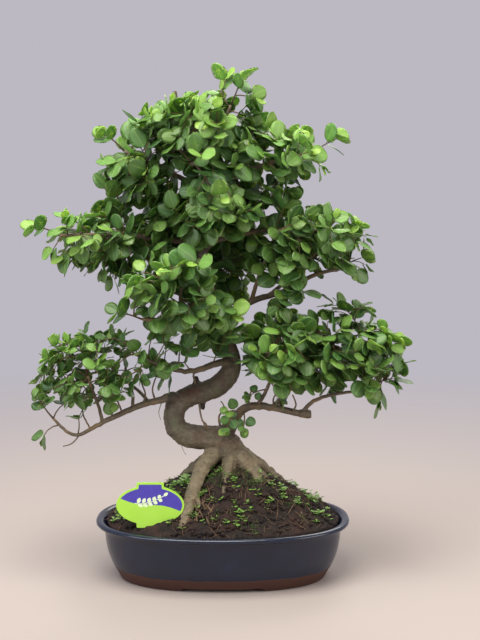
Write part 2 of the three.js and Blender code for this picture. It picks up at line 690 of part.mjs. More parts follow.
// A short twig off the middle of another, or nothing if there is no room for it.
function sideTwig(main, light, draw) {
  const along = main.getTangentAt(0.5);
  const off = along.clone().cross(light).normalize();
  off.addScaledVector(along, 0.5).addScaledVector(light, 0.4 * (draw() - 0.3)).normalize();
  const fork = main.getPointAt(0.5);
  const curve = twigCurve(fork, off, fork.clone().addScaledVector(off, mix(26, 38, draw())), draw);
  const { stations } = twigStations(0, curve.getLength(), 1);
  const pastFork = twigRoom(curve, [4, ...stations.slice(1)]);
  if (!isClear(twigRoom(curve, stations), ["wood"]) || !isClear(pastFork)) return null;
  claim("twigs", twigRoom(curve, stations));
  return makeTwig(curve, 0, light, 1, 0.95, draw);
}

// One spray to about the given end: a leafy twig and, on every second spray, a side twig. A try that
// runs into another spray is given up, and the next one ends a little to the side.
function makeSpray(target, index, draw) {
  for (let attempt = 0; attempt < 24; attempt++) {
    const miss = vec(draw() - 0.5, draw() - 0.5, draw() - 0.5).multiplyScalar(2 * attempt);
    const path = mainPath(target.clone().add(miss), draw);
    if (!path) continue;
    const before = Object.entries(taken).map(([kind, rooms]) => [kind, rooms.length]);
    claim("twigs", path.room);
    buds.push(path.wood);
    const light = vec(path.end.x, path.end.y, 0).normalize().multiplyScalar(0.35);
    light.addScaledVector(path.away, 0.25).addScaledVector(up, 0.8).normalize();
    const main = makeTwig(path.curve, path.from, light, path.pairs, 1, draw);
    const side = index % 2 ? sideTwig(path.curve, light, draw) : null;
    const spray = side ? main.add(side) : main;
    const box = spray.boundingBox();
    if (!grown.some((other) => touches(box, other.box) && !spray.intersect(other.room).isEmpty())) {
      grown.push({ room: spray, box });
      return spray;
    }
    for (const [kind, length] of before) taken[kind].length = length;
    buds.pop();
  }
  return null;
}

// All sprays, in the order of their ends.
function makeSprays() {
  claim("wood", limb(trunkLine, 10, TRUNK_SWELL, GAP));
  for (const line of Object.values(branches)) claim("wood", limb(line, 5, 0, GAP));
  const sprays = sprayEnds(seeded(7)).map((end, i) => makeSpray(end, i, seeded(37 * i + 5)));
  return sprays.filter(Boolean);
}

// The part

const part = new THREE.Group();
const group = new THREE.Group().add(part);

// Puts a solid into the part under a name, in a flat colour.
function addNode(name, made, color, roughness) {
  const { vertProperties, triVerts } = made.getMesh();
  const geometry = new THREE.BufferGeometry();
  geometry.setAttribute("position", new THREE.BufferAttribute(new Float32Array(vertProperties), 3));
  geometry.setIndex(new THREE.BufferAttribute(new Uint32Array(triVerts), 1));
  const node = new THREE.Mesh(geometry, new THREE.MeshStandardMaterial({ color, roughness, metalness: 0 }));
  node.name = name;
  part.add(node);
}

addNode("pot", makePot(), 0x1f2a3a, 0.15);
addNode("drain_net_left", makeDrainNet(-DRAIN_X), 0x20221f, 0.6);
addNode("drain_net_right", makeDrainNet(DRAIN_X), 0x20221f, 0.6);
addNode("soil", makeSoil(), 0x33271f, 0.95);
addNode("tree", makeTree(), 0x7b6d58, 0.8);
addNode("plant_label", makeLabel(), 0xb5cf35, 0.35);
makeSprays().forEach((spray, i) => {
  addNode(`spray_${String(i + 1).padStart(2, "0")}`, spray, 0x5b8f3a, 0.45);
});

const box = new THREE.Box3().setFromObject(part);
part.position.set(-(box.min.x + box.max.x) / 2, -(box.min.y + box.max.y) / 2, -box.min.z);

export default group;
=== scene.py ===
import math

import bmesh
import bpy
import numpy as np
from mathutils import Matrix, Vector, noise


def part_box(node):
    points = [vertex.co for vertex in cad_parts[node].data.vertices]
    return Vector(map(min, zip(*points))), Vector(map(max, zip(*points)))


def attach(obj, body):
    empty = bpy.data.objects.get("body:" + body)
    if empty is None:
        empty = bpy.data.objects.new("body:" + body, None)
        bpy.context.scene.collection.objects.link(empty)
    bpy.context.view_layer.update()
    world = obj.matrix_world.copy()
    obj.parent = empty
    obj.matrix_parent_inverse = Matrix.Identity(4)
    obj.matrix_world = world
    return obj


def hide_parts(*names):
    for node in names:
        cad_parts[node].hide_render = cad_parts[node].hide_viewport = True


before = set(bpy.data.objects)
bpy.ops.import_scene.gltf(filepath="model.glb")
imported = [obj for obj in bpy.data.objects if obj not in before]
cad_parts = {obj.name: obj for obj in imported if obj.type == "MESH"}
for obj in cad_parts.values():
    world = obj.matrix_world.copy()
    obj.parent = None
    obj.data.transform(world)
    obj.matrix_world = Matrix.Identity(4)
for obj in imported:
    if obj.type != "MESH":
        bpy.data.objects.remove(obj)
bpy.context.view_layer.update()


# The view: the lens and the place of the photograph's camera, worked out from the scale of the scene.
# Sizes in this file are millimetres about the middle of the pot's underside, unless they say otherwise,
# and become Blender's metres where a mesh or the camera is made.

MM = 0.001
pot_low, pot_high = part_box("pot")
POT_MIDDLE = np.array([(pot_low.x + pot_high.x) / 2, (pot_low.y + pot_high.y) / 2, 0.0])


def metres(points):
    return np.asarray(points, float) * MM + POT_MIDDLE


CAMERA_AT = (20, -1367, 454)
CAMERA_DOWN = math.radians(6.53)
CAMERA_LENS = 67.5
camera = bpy.data.objects.new("camera", bpy.data.cameras.new("camera"))
bpy.context.scene.collection.objects.link(camera)
camera.location = metres(CAMERA_AT)
camera.rotation_euler = (math.pi / 2 - CAMERA_DOWN, 0, 0)
camera.data.lens = CAMERA_LENS
camera.data.clip_start = 0.05
camera.data.clip_end = 60
bpy.context.scene.camera = camera
bpy.context.scene.view_settings.view_transform = "Standard"


# The studio: a pale floor that fades into a pale room, lit by large soft boxes from above, both sides
# and behind, so the leaves' upper faces are bright and the glaze shows long soft highlights.


def colour(hex_code):
    """A colour written as sRGB hex, as linear red, green, blue and alpha."""
    parts = [int(hex_code[i : i + 2], 16) / 255 for i in (1, 3, 5)]
    return [p / 12.92 if p <= 0.04045 else ((p + 0.055) / 1.055) ** 2.4 for p in parts] + [1.0]


def add(tree, kind, sockets=(), **settings):
    """Adds a node with its settings. sockets gives each input by its name or number a value or a link."""
    made = tree.nodes.new(kind)
    for name, value in settings.items():
        setattr(made, name, value)
    for name, value in dict(sockets).items():
        if isinstance(value, bpy.types.NodeSocket):
            tree.links.new(value, made.inputs[name])
        else:
            made.inputs[name].default_value = value
    return made


def new_material(name):
    """A material with its node tree and its one Principled shader."""
    made = bpy.data.materials.new(name)
    made.use_nodes = True
    return made, made.node_tree, made.node_tree.nodes["Principled BSDF"]


ROOM, ROOM_LIGHT = "#d6d2dd", 0.75
world = bpy.data.worlds.new("pale_room")
world.use_nodes = True
world.node_tree.nodes["Background"].inputs["Color"].default_value = colour(ROOM)
world.node_tree.nodes["Background"].inputs["Strength"].default_value = ROOM_LIGHT
bpy.context.scene.world = world

# Matt paint brushed on a board: it takes soft shadows and gives no shine. It fades out between these
# two distances from the pot, in metres, so that no edge shows.
FLOOR_FADES_FROM, FLOOR_GONE_AT, FLOOR_RADIUS = 0.35, 1.6, 12
FLOOR_NEAR = "#ada39c"
floor_paint, tree, shader = new_material("matt_painted_board")
place = add(tree, "ShaderNodeTexCoord").outputs["Object"]
away = add(tree, "ShaderNodeVectorMath", {0: place}, operation="LENGTH").outputs["Value"]
fading = {"Value": away, "From Min": FLOOR_GONE_AT, "From Max": FLOOR_FADES_FROM}
fade = add(tree, "ShaderNodeMapRange", fading).outputs[0]
tree.links.new(fade, shader.inputs["Alpha"])
shader.inputs["Base Color"].default_value = colour(FLOOR_NEAR)
shader.inputs["Roughness"].default_value = 0.7
shader.inputs["IOR"].default_value = 1.45

floor_mesh = bpy.data.meshes.new("floor")
floor_shape = bmesh.new()
bmesh.ops.create_circle(floor_shape, cap_ends=True, radius=FLOOR_RADIUS, segments=96)
floor_shape.to_mesh(floor_mesh)
floor_shape.free()
floor = bpy.data.objects.new("floor", floor_mesh)
bpy.context.scene.collection.objects.link(floor)
floor.location = metres((0, 0, -0.2))
floor_mesh.materials.append(floor_paint)


def soft_box(name, at, aim, size, watts, tint):
    """A square lamp, from one point in metres towards another."""
    lamp = bpy.data.objects.new(name, bpy.data.lights.new(name, "AREA"))
    bpy.context.scene.collection.objects.link(lamp)
    lamp.data.size = size
    lamp.data.energy = watts
    lamp.data.color = colour(tint)[:3]
    lamp.location = at
    lamp.rotation_euler = (Vector(aim) - Vector(at)).to_track_quat("-Z", "Y").to_euler()


soft_box("soft_box_top", (-0.25, -0.55, 1.9), (0, 0, 0.3), 1.2, 44, "#fffaf0")
soft_box("soft_box_left", (-1.7, -1.3, 1.1), (0, 0, 0.2), 1.2, 22, "#f4f6ff")
soft_box("soft_box_back", (0.5, 1.6, 1.5), (0, 0, 0.35), 1.0, 12, "#fffaf0")
soft_box("soft_box_right", (1.8, -0.9, 0.9), (0, 0, 0.2), 1.2, 19, "#fff6ea")


# The pot: an oval stoneware bowl pressed in a mould, with a soft rolled lip and four low feet. The
# body is dipped in a dark navy glaze that stops short of the foot, where the red-brown clay is bare.

# Half the lip's length and width, and how straight the oval's sides are, where 2 is an ellipse
LIP_A, LIP_B, OVALNESS = 147, 100, 2.35
# The wall's section from under the foot, up outside, over the lip and down to the floor: how far in
# from the lip's edge, and the height
pot_rings = [
    (38, 5), (37, 1), (35.5, 0), (28.5, 0), (27, 1), (22, 11), (20.6, 12.6), (19.6, 14.6), (17, 20),
    (14, 28), (12, 36), (10.6, 45), (9.9, 53), (9.5, 58.2), (8.3, 60.2), (4.4, 61.4), (1.6, 62.6),
    (0.2, 64.2), (0, 65.6), (0.7, 66.9), (2.4, 67.8), (4.6, 68), (6.8, 67.6), (8.6, 66.4),
    (10.4, 63.5), (13, 59), (15, 55), (19, 30), (32, 11),
]
POT_SIDES = 160
FOOT_NOTCH_FRONT, FOOT_NOTCH_SIDE = 92, 44
DRAIN_X, DRAIN_RADIUS, DRAIN_SIDES = 62, 9, 32


def oval(inset, z, sides=POT_SIDES):
    """Points of the pot's oval, that far in from the lip's edge."""
    turn = 2 * math.pi * (np.arange(sides) + 0.5) / sides
    x, y = (np.sign(v) * np.abs(v) ** (2 / OVALNESS) for v in (np.cos(turn), np.sin(turn)))
    return np.stack([(LIP_A - inset) * x, (LIP_B - inset) * y, np.full(sides, z, float)], 1)


def piece(name, points, faces, materials, smooth=True, which=None, marks=()):
    """An object from points in millimetres. marks are numbers kept at each point for its material."""
    mesh = bpy.data.meshes.new(name)
    mesh.from_pydata(metres(points).tolist(), [], faces)
    for material in materials:
        mesh.materials.append(material)
    if which is not None:
        mesh.polygons.foreach_set("material_index", np.asarray(which, np.int32))
    for mark, values in dict(marks).items():
        kept = mesh.attributes.new(mark, "FLOAT", "POINT").data
        kept.foreach_set("value", np.asarray(values, np.float32))
    mesh.polygons.foreach_set("use_smooth", [smooth] * len(mesh.polygons))
    mesh.update()
    made = bpy.data.objects.new(name, mesh)
    bpy.context.scene.collection.objects.link(made)
    return made


def hoops(rings):
    """Quads between rings of equally many points that follow one another in one list."""
    faces = []
    n = len(rings[0])
    for r in range(len(rings) - 1):
        for i in range(n):
            j = (i + 1) % n
            faces.append((r * n + i, r * n + j, r * n + n + j, r * n + n + i))
    return faces


def closed(rings):
    """The same with a lid on the first ring and one on the last."""
    n = len(rings[0])
    last = n * (len(rings) - 1)
    return hoops(rings) + [tuple(range(n))[::-1], tuple(range(last, last + n))]


rings = [oval(inset, z) for inset, z in pot_rings]
pot = piece("pot_fine", np.concatenate(rings), closed(rings), [])


def carve(target, cuts):
    """Cuts solids away from a piece and makes the result its mesh."""
    for cut in cuts:
        step = target.modifiers.new("cut", "BOOLEAN")
        step.operation = "DIFFERENCE"
        step.solver = "EXACT"
        step.object = cut
    shaped = bpy.data.meshes.new_from_object(target.evaluated_get(bpy.context.evaluated_depsgraph_get()))
    target.modifiers.clear()
    target.data = shaped
    for cut in cuts:
        bpy.data.objects.remove(cut)


def notch(along_x, half_across, half_long):
    """A low tunnel under the foot ring with rounded upper corners, as a solid to cut away."""
    profile = [(-half_across, -5), (half_across, -5), (half_across, 1.2)]
    profile += [(half_across - 3 * (1 - math.cos(a)), 1.2 + 2.8 * math.sin(a)) for a in (0.5, 1.0, 1.57)]
    profile += [(-u, z) for u, z in reversed(profile[2:])]
    if along_x:
        ends = [[(u, far, z) for u, z in profile] for far in (-half_long, half_long)]
        faces = [face[::-1] for face in closed(ends)]
    else:
        ends = [[(far, u, z) for u, z in profile] for far in (-half_long, half_long)]
        faces = closed(ends)
    return piece("cutter", np.array(ends).reshape(-1, 3), faces, [])


def drain(x):
    """A round hole through the pot's floor, as a solid to cut away."""
    turn = 2 * math.pi * np.arange(DRAIN_SIDES) / DRAIN_SIDES
    round_x, round_y = x + DRAIN_RADIUS * np.cos(turn), DRAIN_RADIUS * np.sin(turn)
    ends = [np.stack([round_x, round_y, np.full(DRAIN_SIDES, z)], 1) for z in (-5.0, 25.0)]
    return piece("cutter", np.concatenate(ends), closed(ends), [])


notches = [notch(True, FOOT_NOTCH_FRONT / 2, 140), notch(False, FOOT_NOTCH_SIDE / 2, 190)]
carve(pot, notches + [drain(-DRAIN_X), drain(DRAIN_X)])
pot.data.polygons.foreach_set("use_smooth", [True] * len(pot.data.polygons))
pot.data.set_sharp_from_angle(angle=math.radians(38))


def every(size):
    """A pattern's scale that brings one of its marks about every that many millimetres."""
    return 1 / (size * MM)


# Glaze and clay in one material. The glaze is fired glass, so it shows long soft highlights on dark
# blue, with clouds 36 mm wide and runs about 4 mm wide and 45 mm long. On the lip it is paler: thinner
# glaze, and partly a painted sheen of the light the lip catches. The clay below is dull and brown, and
# the line between them wanders by a millimetre or two as the dip left it. The clay's grit is finer than
# the render shows, and is drawn 1.1 mm wide.
glazed, tree, shader = new_material("navy_glaze_on_stoneware")
place = add(tree, "ShaderNodeTexCoord").outputs["Object"]
height = add(tree, "ShaderNodeSeparateXYZ", {0: place}).outputs["Z"]
wander = add(
    tree, "ShaderNodeTexNoise", {"Vector": place, "Scale": every(22.2), "Detail": 3}
).outputs["Fac"]
edge = add(tree, "ShaderNodeMath", {0: wander, 1: 4 * MM, 2: height}, operation="MULTIPLY_ADD").outputs[0]
bare = add(
    tree, "ShaderNodeMapRange", {"Value": edge, "From Min": 17.6 * MM, "From Max": 16.6 * MM}
).outputs[0]
cloud = add(tree, "ShaderNodeTexNoise", {"Vector": place, "Scale": every(35.7), "Detail": 4}).outputs["Fac"]
speck = add(tree, "ShaderNodeTexNoise", {"Vector": place, "Scale": every(1.11), "Detail": 2}).outputs["Fac"]
run_size = (every(3.85), every(3.85), every(45.5))
runs = add(tree, "ShaderNodeVectorMath", {0: place, 1: run_size}, operation="MULTIPLY").outputs["Vector"]
streak = add(tree, "ShaderNodeTexNoise", {"Vector": runs, "Scale": 1, "Detail": 3}).outputs["Fac"]
navy = add(
    tree, "ShaderNodeMix", {0: cloud, 6: colour("#050c1c"), 7: colour("#0b1934")}, data_type="RGBA"
).outputs[2]
streaked = add(tree, "ShaderNodeMapRange", {"Value": streak, "From Min": 0.4, "From Max": 1.3}).outputs[0]
navy = add(tree, "ShaderNodeMix", {0: streaked, 6: navy, 7: colour("#12233f")}, data_type="RGBA").outputs[2]
# Paler grey-blue towards the top of the lip, in the clouds: thinner glaze, and partly a painted sheen
thin_glaze_and_sheen = add(
    tree, "ShaderNodeMapRange", {"Value": height, "From Min": 65.5 * MM, "From Max": 68.5 * MM}
).outputs[0]
thin_glaze_and_sheen = add(tree, "ShaderNodeMath", {0: thin_glaze_and_sheen, 1: cloud}, operation="MULTIPLY").outputs[0]
navy = add(
    tree, "ShaderNodeMix", {0: thin_glaze_and_sheen, 6: navy, 7: colour("#262d38")}, data_type="RGBA"
).outputs[2]
clay = add(
    tree, "ShaderNodeMix", {0: speck, 6: colour("#2f1912"), 7: colour("#593225")}, data_type="RGBA"
).outputs[2]
skin = add(tree, "ShaderNodeMix", {0: bare, 6: navy, 7: clay}, data_type="RGBA").outputs[2]
tree.links.new(skin, shader.inputs["Base Color"])
rough = add(tree, "ShaderNodeMapRange", {"Value": bare, "To Min": 0.2, "To Max": 0.72}).outputs[0]
tree.links.new(rough, shader.inputs["Roughness"])
shader.inputs["IOR"].default_value = 1.52
ripple = add(
    tree, "ShaderNodeTexNoise", {"Vector": place, "Scale": every(14.3), "Detail": 2}
).outputs["Fac"]
grain = add(tree, "ShaderNodeMath", {0: speck, 1: bare}, operation="MULTIPLY").outputs[0]
relief = add(tree, "ShaderNodeMath", {0: grain, 1: 0.5, 2: ripple}, operation="MULTIPLY_ADD").outputs[0]
bump = add(tree, "ShaderNodeBump", {"Height": relief, "Strength": 0.25, "Distance": 0.8 * MM}).outputs[0]
tree.links.new(bump, shader.inputs["Normal"])
pot.data.materials.append(glazed)
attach(pot, "root")
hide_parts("pot")


# The nets: two squares of black polyethylene mesh, extruded flat and laid over the drain holes to keep
# the soil in. They lie hidden under it, so the frame's own solids serve.


def mottled(name, size, detail, tone, other_tone, roughness, ior):
    """A material in two tones, in soft spots of about that many millimetres."""
    made, tree, shader = new_material(name)
    place = add(tree, "ShaderNodeTexCoord").outputs["Object"]
    spots = {"Vector": place, "Scale": every(size), "Detail": detail}
    spots = add(tree, "ShaderNodeTexNoise", spots).outputs["Fac"]
    tones = {0: spots, 6: colour(tone), 7: colour(other_tone)}
    skin = add(tree, "ShaderNodeMix", tones, data_type="RGBA").outputs[2]
    tree.links.new(skin, shader.inputs["Base Color"])
    shader.inputs["Roughness"].default_value = roughness
    shader.inputs["IOR"].default_value = ior
    return made


# Extruded polyethylene is smooth but waxy: black with a dull sheen, and brown where earth sticks to it
net_plastic = mottled("black_polyethylene_extruded", 3.33, 3, "#171816", "#3a342c", 0.55, 1.51)
for name in ("drain_net_left", "drain_net_right"):
    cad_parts[name].data.materials.clear()
    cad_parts[name].data.materials.append(net_plastic)


# The soil: dark potting earth with bark fibres and a few pale grains of pumice in it, heaped up
# towards the trunk by hand and washed down by years of watering.

# The mound's half sizes, its height at the wall and at its peak, and the peak's place along x
SOIL_A, SOIL_B, SOIL_EDGE, SOIL_PEAK, SOIL_PEAK_X = 135, 88, 66, 130, 8
# The earth heaped up between the roots: x, y, height, and how far it spreads along x and y
heaps = [(16, -28, 11, 40, 24), (4, -44, 6, 14, 15), (50, -38, 5, 15, 15)]


def soil_height(x, y):
    """The mound's height at each x, y."""
    long = SOIL_A + np.where(x < SOIL_PEAK_X, SOIL_PEAK_X, -SOIL_PEAK_X)
    reach = (np.abs(x - SOIL_PEAK_X) / long) ** OVALNESS + (np.abs(y) / SOIL_B) ** OVALNESS
    reach = np.minimum(1, reach ** (1 / OVALNESS))
    lumps = 1.6 * np.sin(x / 9 + y / 23) * np.cos(y / 8 - x / 31)
    return SOIL_PEAK + (SOIL_EDGE - SOIL_PEAK) * reach**1.3 + lumps * np.sqrt(reach * (1 - reach))


def earth_height(x, y):
    """The same with the earth that is heaped up between the roots."""
    height = soil_height(x, y)
    for middle_x, middle_y, high, wide, deep in heaps:
        height = height + high * np.exp(-(((x - middle_x) / wide) ** 2) - ((y - middle_y) / deep) ** 2)
    return height


def rough_field(points, size, octaves=3):
    """Soft noise from -1 to 1 at each point, with lumps of about that size in millimetres."""
    return np.array([noise.fractal(Vector(p) / size, 0.6, 2.0, octaves) for p in points])


# The upper face runs in from the wall to the peak, and carries lumps of 9 mm and finer ones of 3 mm
SOIL_ROUND_STEPS, SOIL_IN_STEPS, SOIL_INSET = 220, 70, 12.4
rim = oval(SOIL_INSET, 0, SOIL_ROUND_STEPS)
peak = np.array([SOIL_PEAK_X, 0])
shares = 1 - (1 - np.arange(SOIL_IN_STEPS) / SOIL_IN_STEPS) ** 0.9
grid = rim[None, :, :2] * (1 - shares[:, None, None]) + peak * shares[:, None, None]
grid = np.concatenate([grid.reshape(-1, 2), [peak]])
ground = np.column_stack([grid, earth_height(grid[:, 0], grid[:, 1])])
ground[:, 2] += 3.0 * rough_field(ground, 9, 4) + 1.3 * rough_field(ground + 50, 3.2, 2)
wall = [oval(inset, z, SOIL_ROUND_STEPS) for inset, z in ((32.6, 11.3), (19.4, 30), (15.4, 58))]
rows = wall + [ground[i * SOIL_ROUND_STEPS : (i + 1) * SOIL_ROUND_STEPS] for i in range(SOIL_IN_STEPS)]
points = np.concatenate(rows + [ground[-1:]])
faces = hoops(rows)
start = (len(rows) - 1) * SOIL_ROUND_STEPS
faces += [(start + i, start + (i + 1) % SOIL_ROUND_STEPS, len(points) - 1) for i in range(SOIL_ROUND_STEPS)]
faces.append(tuple(range(SOIL_ROUND_STEPS))[::-1])

# Moist earth takes the light in and gives no shine: nearly black crumbs of 2 mm, with redder patches
# of 26 mm where bark has rotted, and a few light grains of 1.4 mm.
earth, tree, shader = new_material("moist_potting_earth")
place = add(tree, "ShaderNodeTexCoord").outputs["Object"]
patch = add(tree, "ShaderNodeTexNoise", {"Vector": place, "Scale": every(26.3), "Detail": 5}).outputs["Fac"]
crumb_tone = add(tree, "ShaderNodeTexVoronoi", {"Vector": place, "Scale": every(2.38)}).outputs["Color"]
crumb_tone = add(tree, "ShaderNodeSeparateXYZ", {0: crumb_tone}).outputs["X"]
fine = add(tree, "ShaderNodeTexNoise", {"Vector": place, "Scale": every(1.43), "Detail": 3}).outputs["Fac"]
brown = add(
    tree, "ShaderNodeMix", {0: crumb_tone, 6: colour("#0e0a08"), 7: colour("#2b1e16")}, data_type="RGBA"
).outputs[2]
reddish = add(tree, "ShaderNodeMapRange", {"Value": patch, "From Min": 0.48, "From Max": 0.68}).outputs[0]
brown = add(
    tree, "ShaderNodeMix", {0: reddish, 6: brown, 7: colour("#33201a")}, data_type="RGBA"
).outputs[2]
light_grains = add(
    tree, "ShaderNodeMapRange", {"Value": fine, "From Min": 0.68, "From Max": 0.76}
).outputs[0]
brown = add(
    tree, "ShaderNodeMix", {0: light_grains, 6: brown, 7: colour("#8d7458")}, data_type="RGBA"
).outputs[2]
tree.links.new(brown, shader.inputs["Base Color"])
shader.inputs["Roughness"].default_value = 0.86
shader.inputs["IOR"].default_value = 1.45
relief = add(tree, "ShaderNodeMath", {0: crumb_tone, 1: 0.5, 2: fine}, operation="MULTIPLY_ADD").outputs[0]
bump = add(tree, "ShaderNodeBump", {"Height": relief, "Strength": 0.8, "Distance": 1.2 * MM}).outputs[0]
tree.links.new(bump, shader.inputs["Normal"])

soil = piece("soil_fine", points, faces, [earth])
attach(soil, "root")
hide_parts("soil")


def off_centre(x, y):
    """How far a place is from the mound's middle, as a share that is 1 at its edge."""
    return (abs(x) / SOIL_A) ** OVALNESS + (abs(y) / SOIL_B) ** OVALNESS


# The label's stake keeps this much of the soil free: from one x to another, in front of a y
LABEL_LEFT, LABEL_RIGHT, LABEL_BACK = -100, -60, -54


def on_soil(draw, spread=1.0):
    """A point on the mound, drawn evenly over its plan but not under the label, with the slope's way up."""
    while True:
        x, y = draw.uniform(-SOIL_A, SOIL_A), draw.uniform(-SOIL_B, SOIL_B)
        under_label = LABEL_LEFT < x < LABEL_RIGHT and y < LABEL_BACK
        if off_centre(x, y) < 0.93 * spread and not under_label:
            break
    h = lambda u, v: float(earth_height(u, v))
    slope = Vector((h(x - 2, y) - h(x + 2, y), h(x, y - 2) - h(x, y + 2), 4)).normalized()
    return Vector((x, y, h(x, y))), slope


ball = bmesh.new()
bmesh.ops.create_icosphere(ball, subdivisions=1, radius=1)
BALL_POINTS = np.array([v.co for v in ball.verts])
BALL_FACES = [tuple(v.index for v in f.verts) for f in ball.faces]
ball.free()


def scattered_lumps(count, small, large, seed):
    """Irregular lumps that lie half sunk on the mound, as one list of points and faces."""
    draw = np.random.default_rng(seed)
    points, faces = [], []
    for _ in range(count):
        at, slope = on_soil(draw)
        size = small + (large - small) * draw.random() ** 2.5
        knobbly = BALL_POINTS * (1 + 0.28 * (draw.random((len(BALL_POINTS), 1)) - 0.5))
        shape = knobbly * size * np.array([1, draw.uniform(0.6, 1), draw.uniform(0.45, 0.7)])
        spin = Matrix.Rotation(draw.uniform(0, 6.28), 3, "Z")
        tilt = Matrix.Rotation(draw.uniform(-0.6, 0.6), 3, "X")
        middle = np.array(at + slope * size * draw.uniform(-0.1, 0.5))
        faces += [tuple(len(points) * len(BALL_POINTS) + i for i in f) for f in BALL_FACES]
        points.append(shape @ np.array(spin @ tilt).T + middle)
    return np.concatenate(points), faces


points, faces = scattered_lumps(3200, small=0.7, large=4.2, seed=11)
crumbs = piece("soil_crumbs", points, faces, [earth])
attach(crumbs, "root")

# Pumice, crushed and mixed into the earth: pale dull grains, with dirt in their pores
pumice = mottled("pumice_grain_broken", 2.5, 3, "#cdc4b4", "#7c6c58", 0.85, 1.5)
points, faces = scattered_lumps(70, small=0.5, large=1.6, seed=23)
grains = piece("pumice_grains", points, faces, [pumice])
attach(grains, "root")

# Composted bark and old root hairs that lie on the earth, some standing off it: torn strands that dry
# out first, so they are dull and go from straw colour to dark brown
fibre = mottled("composted_bark_fibre", 11.1, 2, "#36221a", "#836a4d", 0.8, 1.5)


def strand(at, way, slope, long, radius, draw, sides=4, steps=5):
    """A bent strand that starts at a point, as points and faces."""
    curl = Vector((draw.uniform(-1, 1), draw.uniform(-1, 1), draw.uniform(-0.4, 0.5)))
    rows = []
    side = slope.cross(way).normalized()
    turn = 2 * math.pi * np.arange(sides) / sides
    ring = np.cos(turn)[:, None] * np.array(side) + np.sin(turn)[:, None] * np.array(slope)
    for i in range(steps + 1):
        t = i / steps
        bow = long * t * (1 - t)
        middle = at + way * (long * t) + curl * (0.35 * bow) + slope * (0.12 * bow)
        rows.append(np.array(middle) + radius * (1 - 0.6 * t) * ring)
    return np.concatenate(rows), closed(rows)


def together(solids):
    """Several lists of points and faces as one."""
    points, faces, count = [], [], 0
    for p, f in solids:
        points.append(p)
        faces += [tuple(count + i for i in face) for face in f]
        count += len(p)
    return np.concatenate(points), faces


FIBRES, BARK_CHIPS = 620, 34
draw = np.random.default_rng(31)
strands = []
for _ in range(FIBRES):
    at, slope = on_soil(draw)
    turn = draw.uniform(0, 6.28)
    way = slope.cross(Vector((math.cos(turn), math.sin(turn), 0))).normalized()
    way = (way + slope * draw.uniform(0, 0.3)).normalized()
    long = 4 + 20 * draw.random() ** 2
    strands.append(strand(at + slope * 0.5, way, slope, long, draw.uniform(0.18, 0.55), draw))
# Coarser chips of bark, gathered in front of the left root
chip_slope = Vector((0, -1, 0.6)).normalized()
for _ in range(BARK_CHIPS):
    x, y = draw.normal(-24, 9), draw.normal(-60, 9)
    foot = Vector((x, y, float(earth_height(x, y)) + 1))
    way = Vector((draw.uniform(-0.7, 0.7), draw.uniform(0.2, 1), draw.uniform(0.1, 0.8))).normalized()
    long, radius = draw.uniform(6, 15), draw.uniform(0.7, 1.8)
    strands.append(strand(foot, way, chip_slope, long, radius, draw))
points, faces = together(strands)
fibres = piece("bark_fibres", points, faces, [fibre])
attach(fibres, "root")


# The moss and seedlings: low green growth that comes up by itself wherever the earth stays moist,
# as cushions of short stems round the roots and as sprouts with one or two pairs of small leaves.

# Moss scatters the light between its stems, so it is dull and green, in a darker and a lighter green
# in soft spots about 7.7 mm wide. Its stems are thinner than the render shows, and are drawn 1 mm wide.
moss_skin = mottled("cushion_moss_grown", 7.7, 3, "#26351a", "#5b7535", 0.8, 1.5)
MOSS_PATCHES, MOSS_AT_THE_ROOTS = 84, 50
draw = np.random.default_rng(47)
cushions = []
for patch_index in range(MOSS_PATCHES):
    middle, _ = on_soil(draw, 0.9)
    if patch_index < MOSS_AT_THE_ROOTS:
        middle = Vector((draw.uniform(-34, 46), draw.uniform(-42, -6), 0))
    wide = draw.uniform(4, 10)
    for _ in range(int(4 * wide)):
        x, y = middle.x + draw.normal(0, wide / 2), middle.y + draw.normal(0, wide / 2)
        if off_centre(x, y) > 0.9:
            continue
        foot = Vector((x, y, float(earth_height(x, y)) - 0.6))
        way = Vector((draw.uniform(-0.6, 0.6), draw.uniform(-0.6, 0.6), 1)).normalized()
        cushions.append(strand(foot, way, Vector((1, 0, 0.01)), draw.uniform(2.0, 4.2), 0.5, draw, 3, 2))
points, faces = together(cushions)
moss = piece("moss_cushions", points, faces, [moss_skin])
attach(moss, "root")

# A seedling's leaf is thin, soft and hardly waxy: light passes through it, and its green is bright
sprout_skin = mottled("seedling_leaf_soft", 8.33, 2, "#4c7c30", "#93bb58", 0.5, 1.5)
inputs = sprout_skin.node_tree.nodes["Principled BSDF"].inputs
inputs["Subsurface Weight"].default_value = 0.3
inputs["Subsurface Radius"].default_value = (0.8, 1.0, 0.3)
inputs["Subsurface Scale"].default_value = 1.0 * MM


def sprout_leaf(root, ahead, across, normal, long, wide):
    """A small rounded leaf, thin and slightly hollow, as points and faces."""
    rings = []
    for u, w in [(0.0, 0.12), (0.28, 0.8), (0.55, 1.0), (0.82, 0.75), (1.0, 0.15)]:
        ring = []
        for v, z in [(-1, 0.0), (0, -0.12), (1, 0.0), (0, -0.32)]:
            raised = z * wide * (w + 0.2) - 0.5 * long * u * u * 0.3
            ring.append(root + ahead * (u * long) + across * (v * w * wide) + normal * raised)
        rings.append(ring)
    return np.array(rings).reshape(-1, 3), closed(rings)


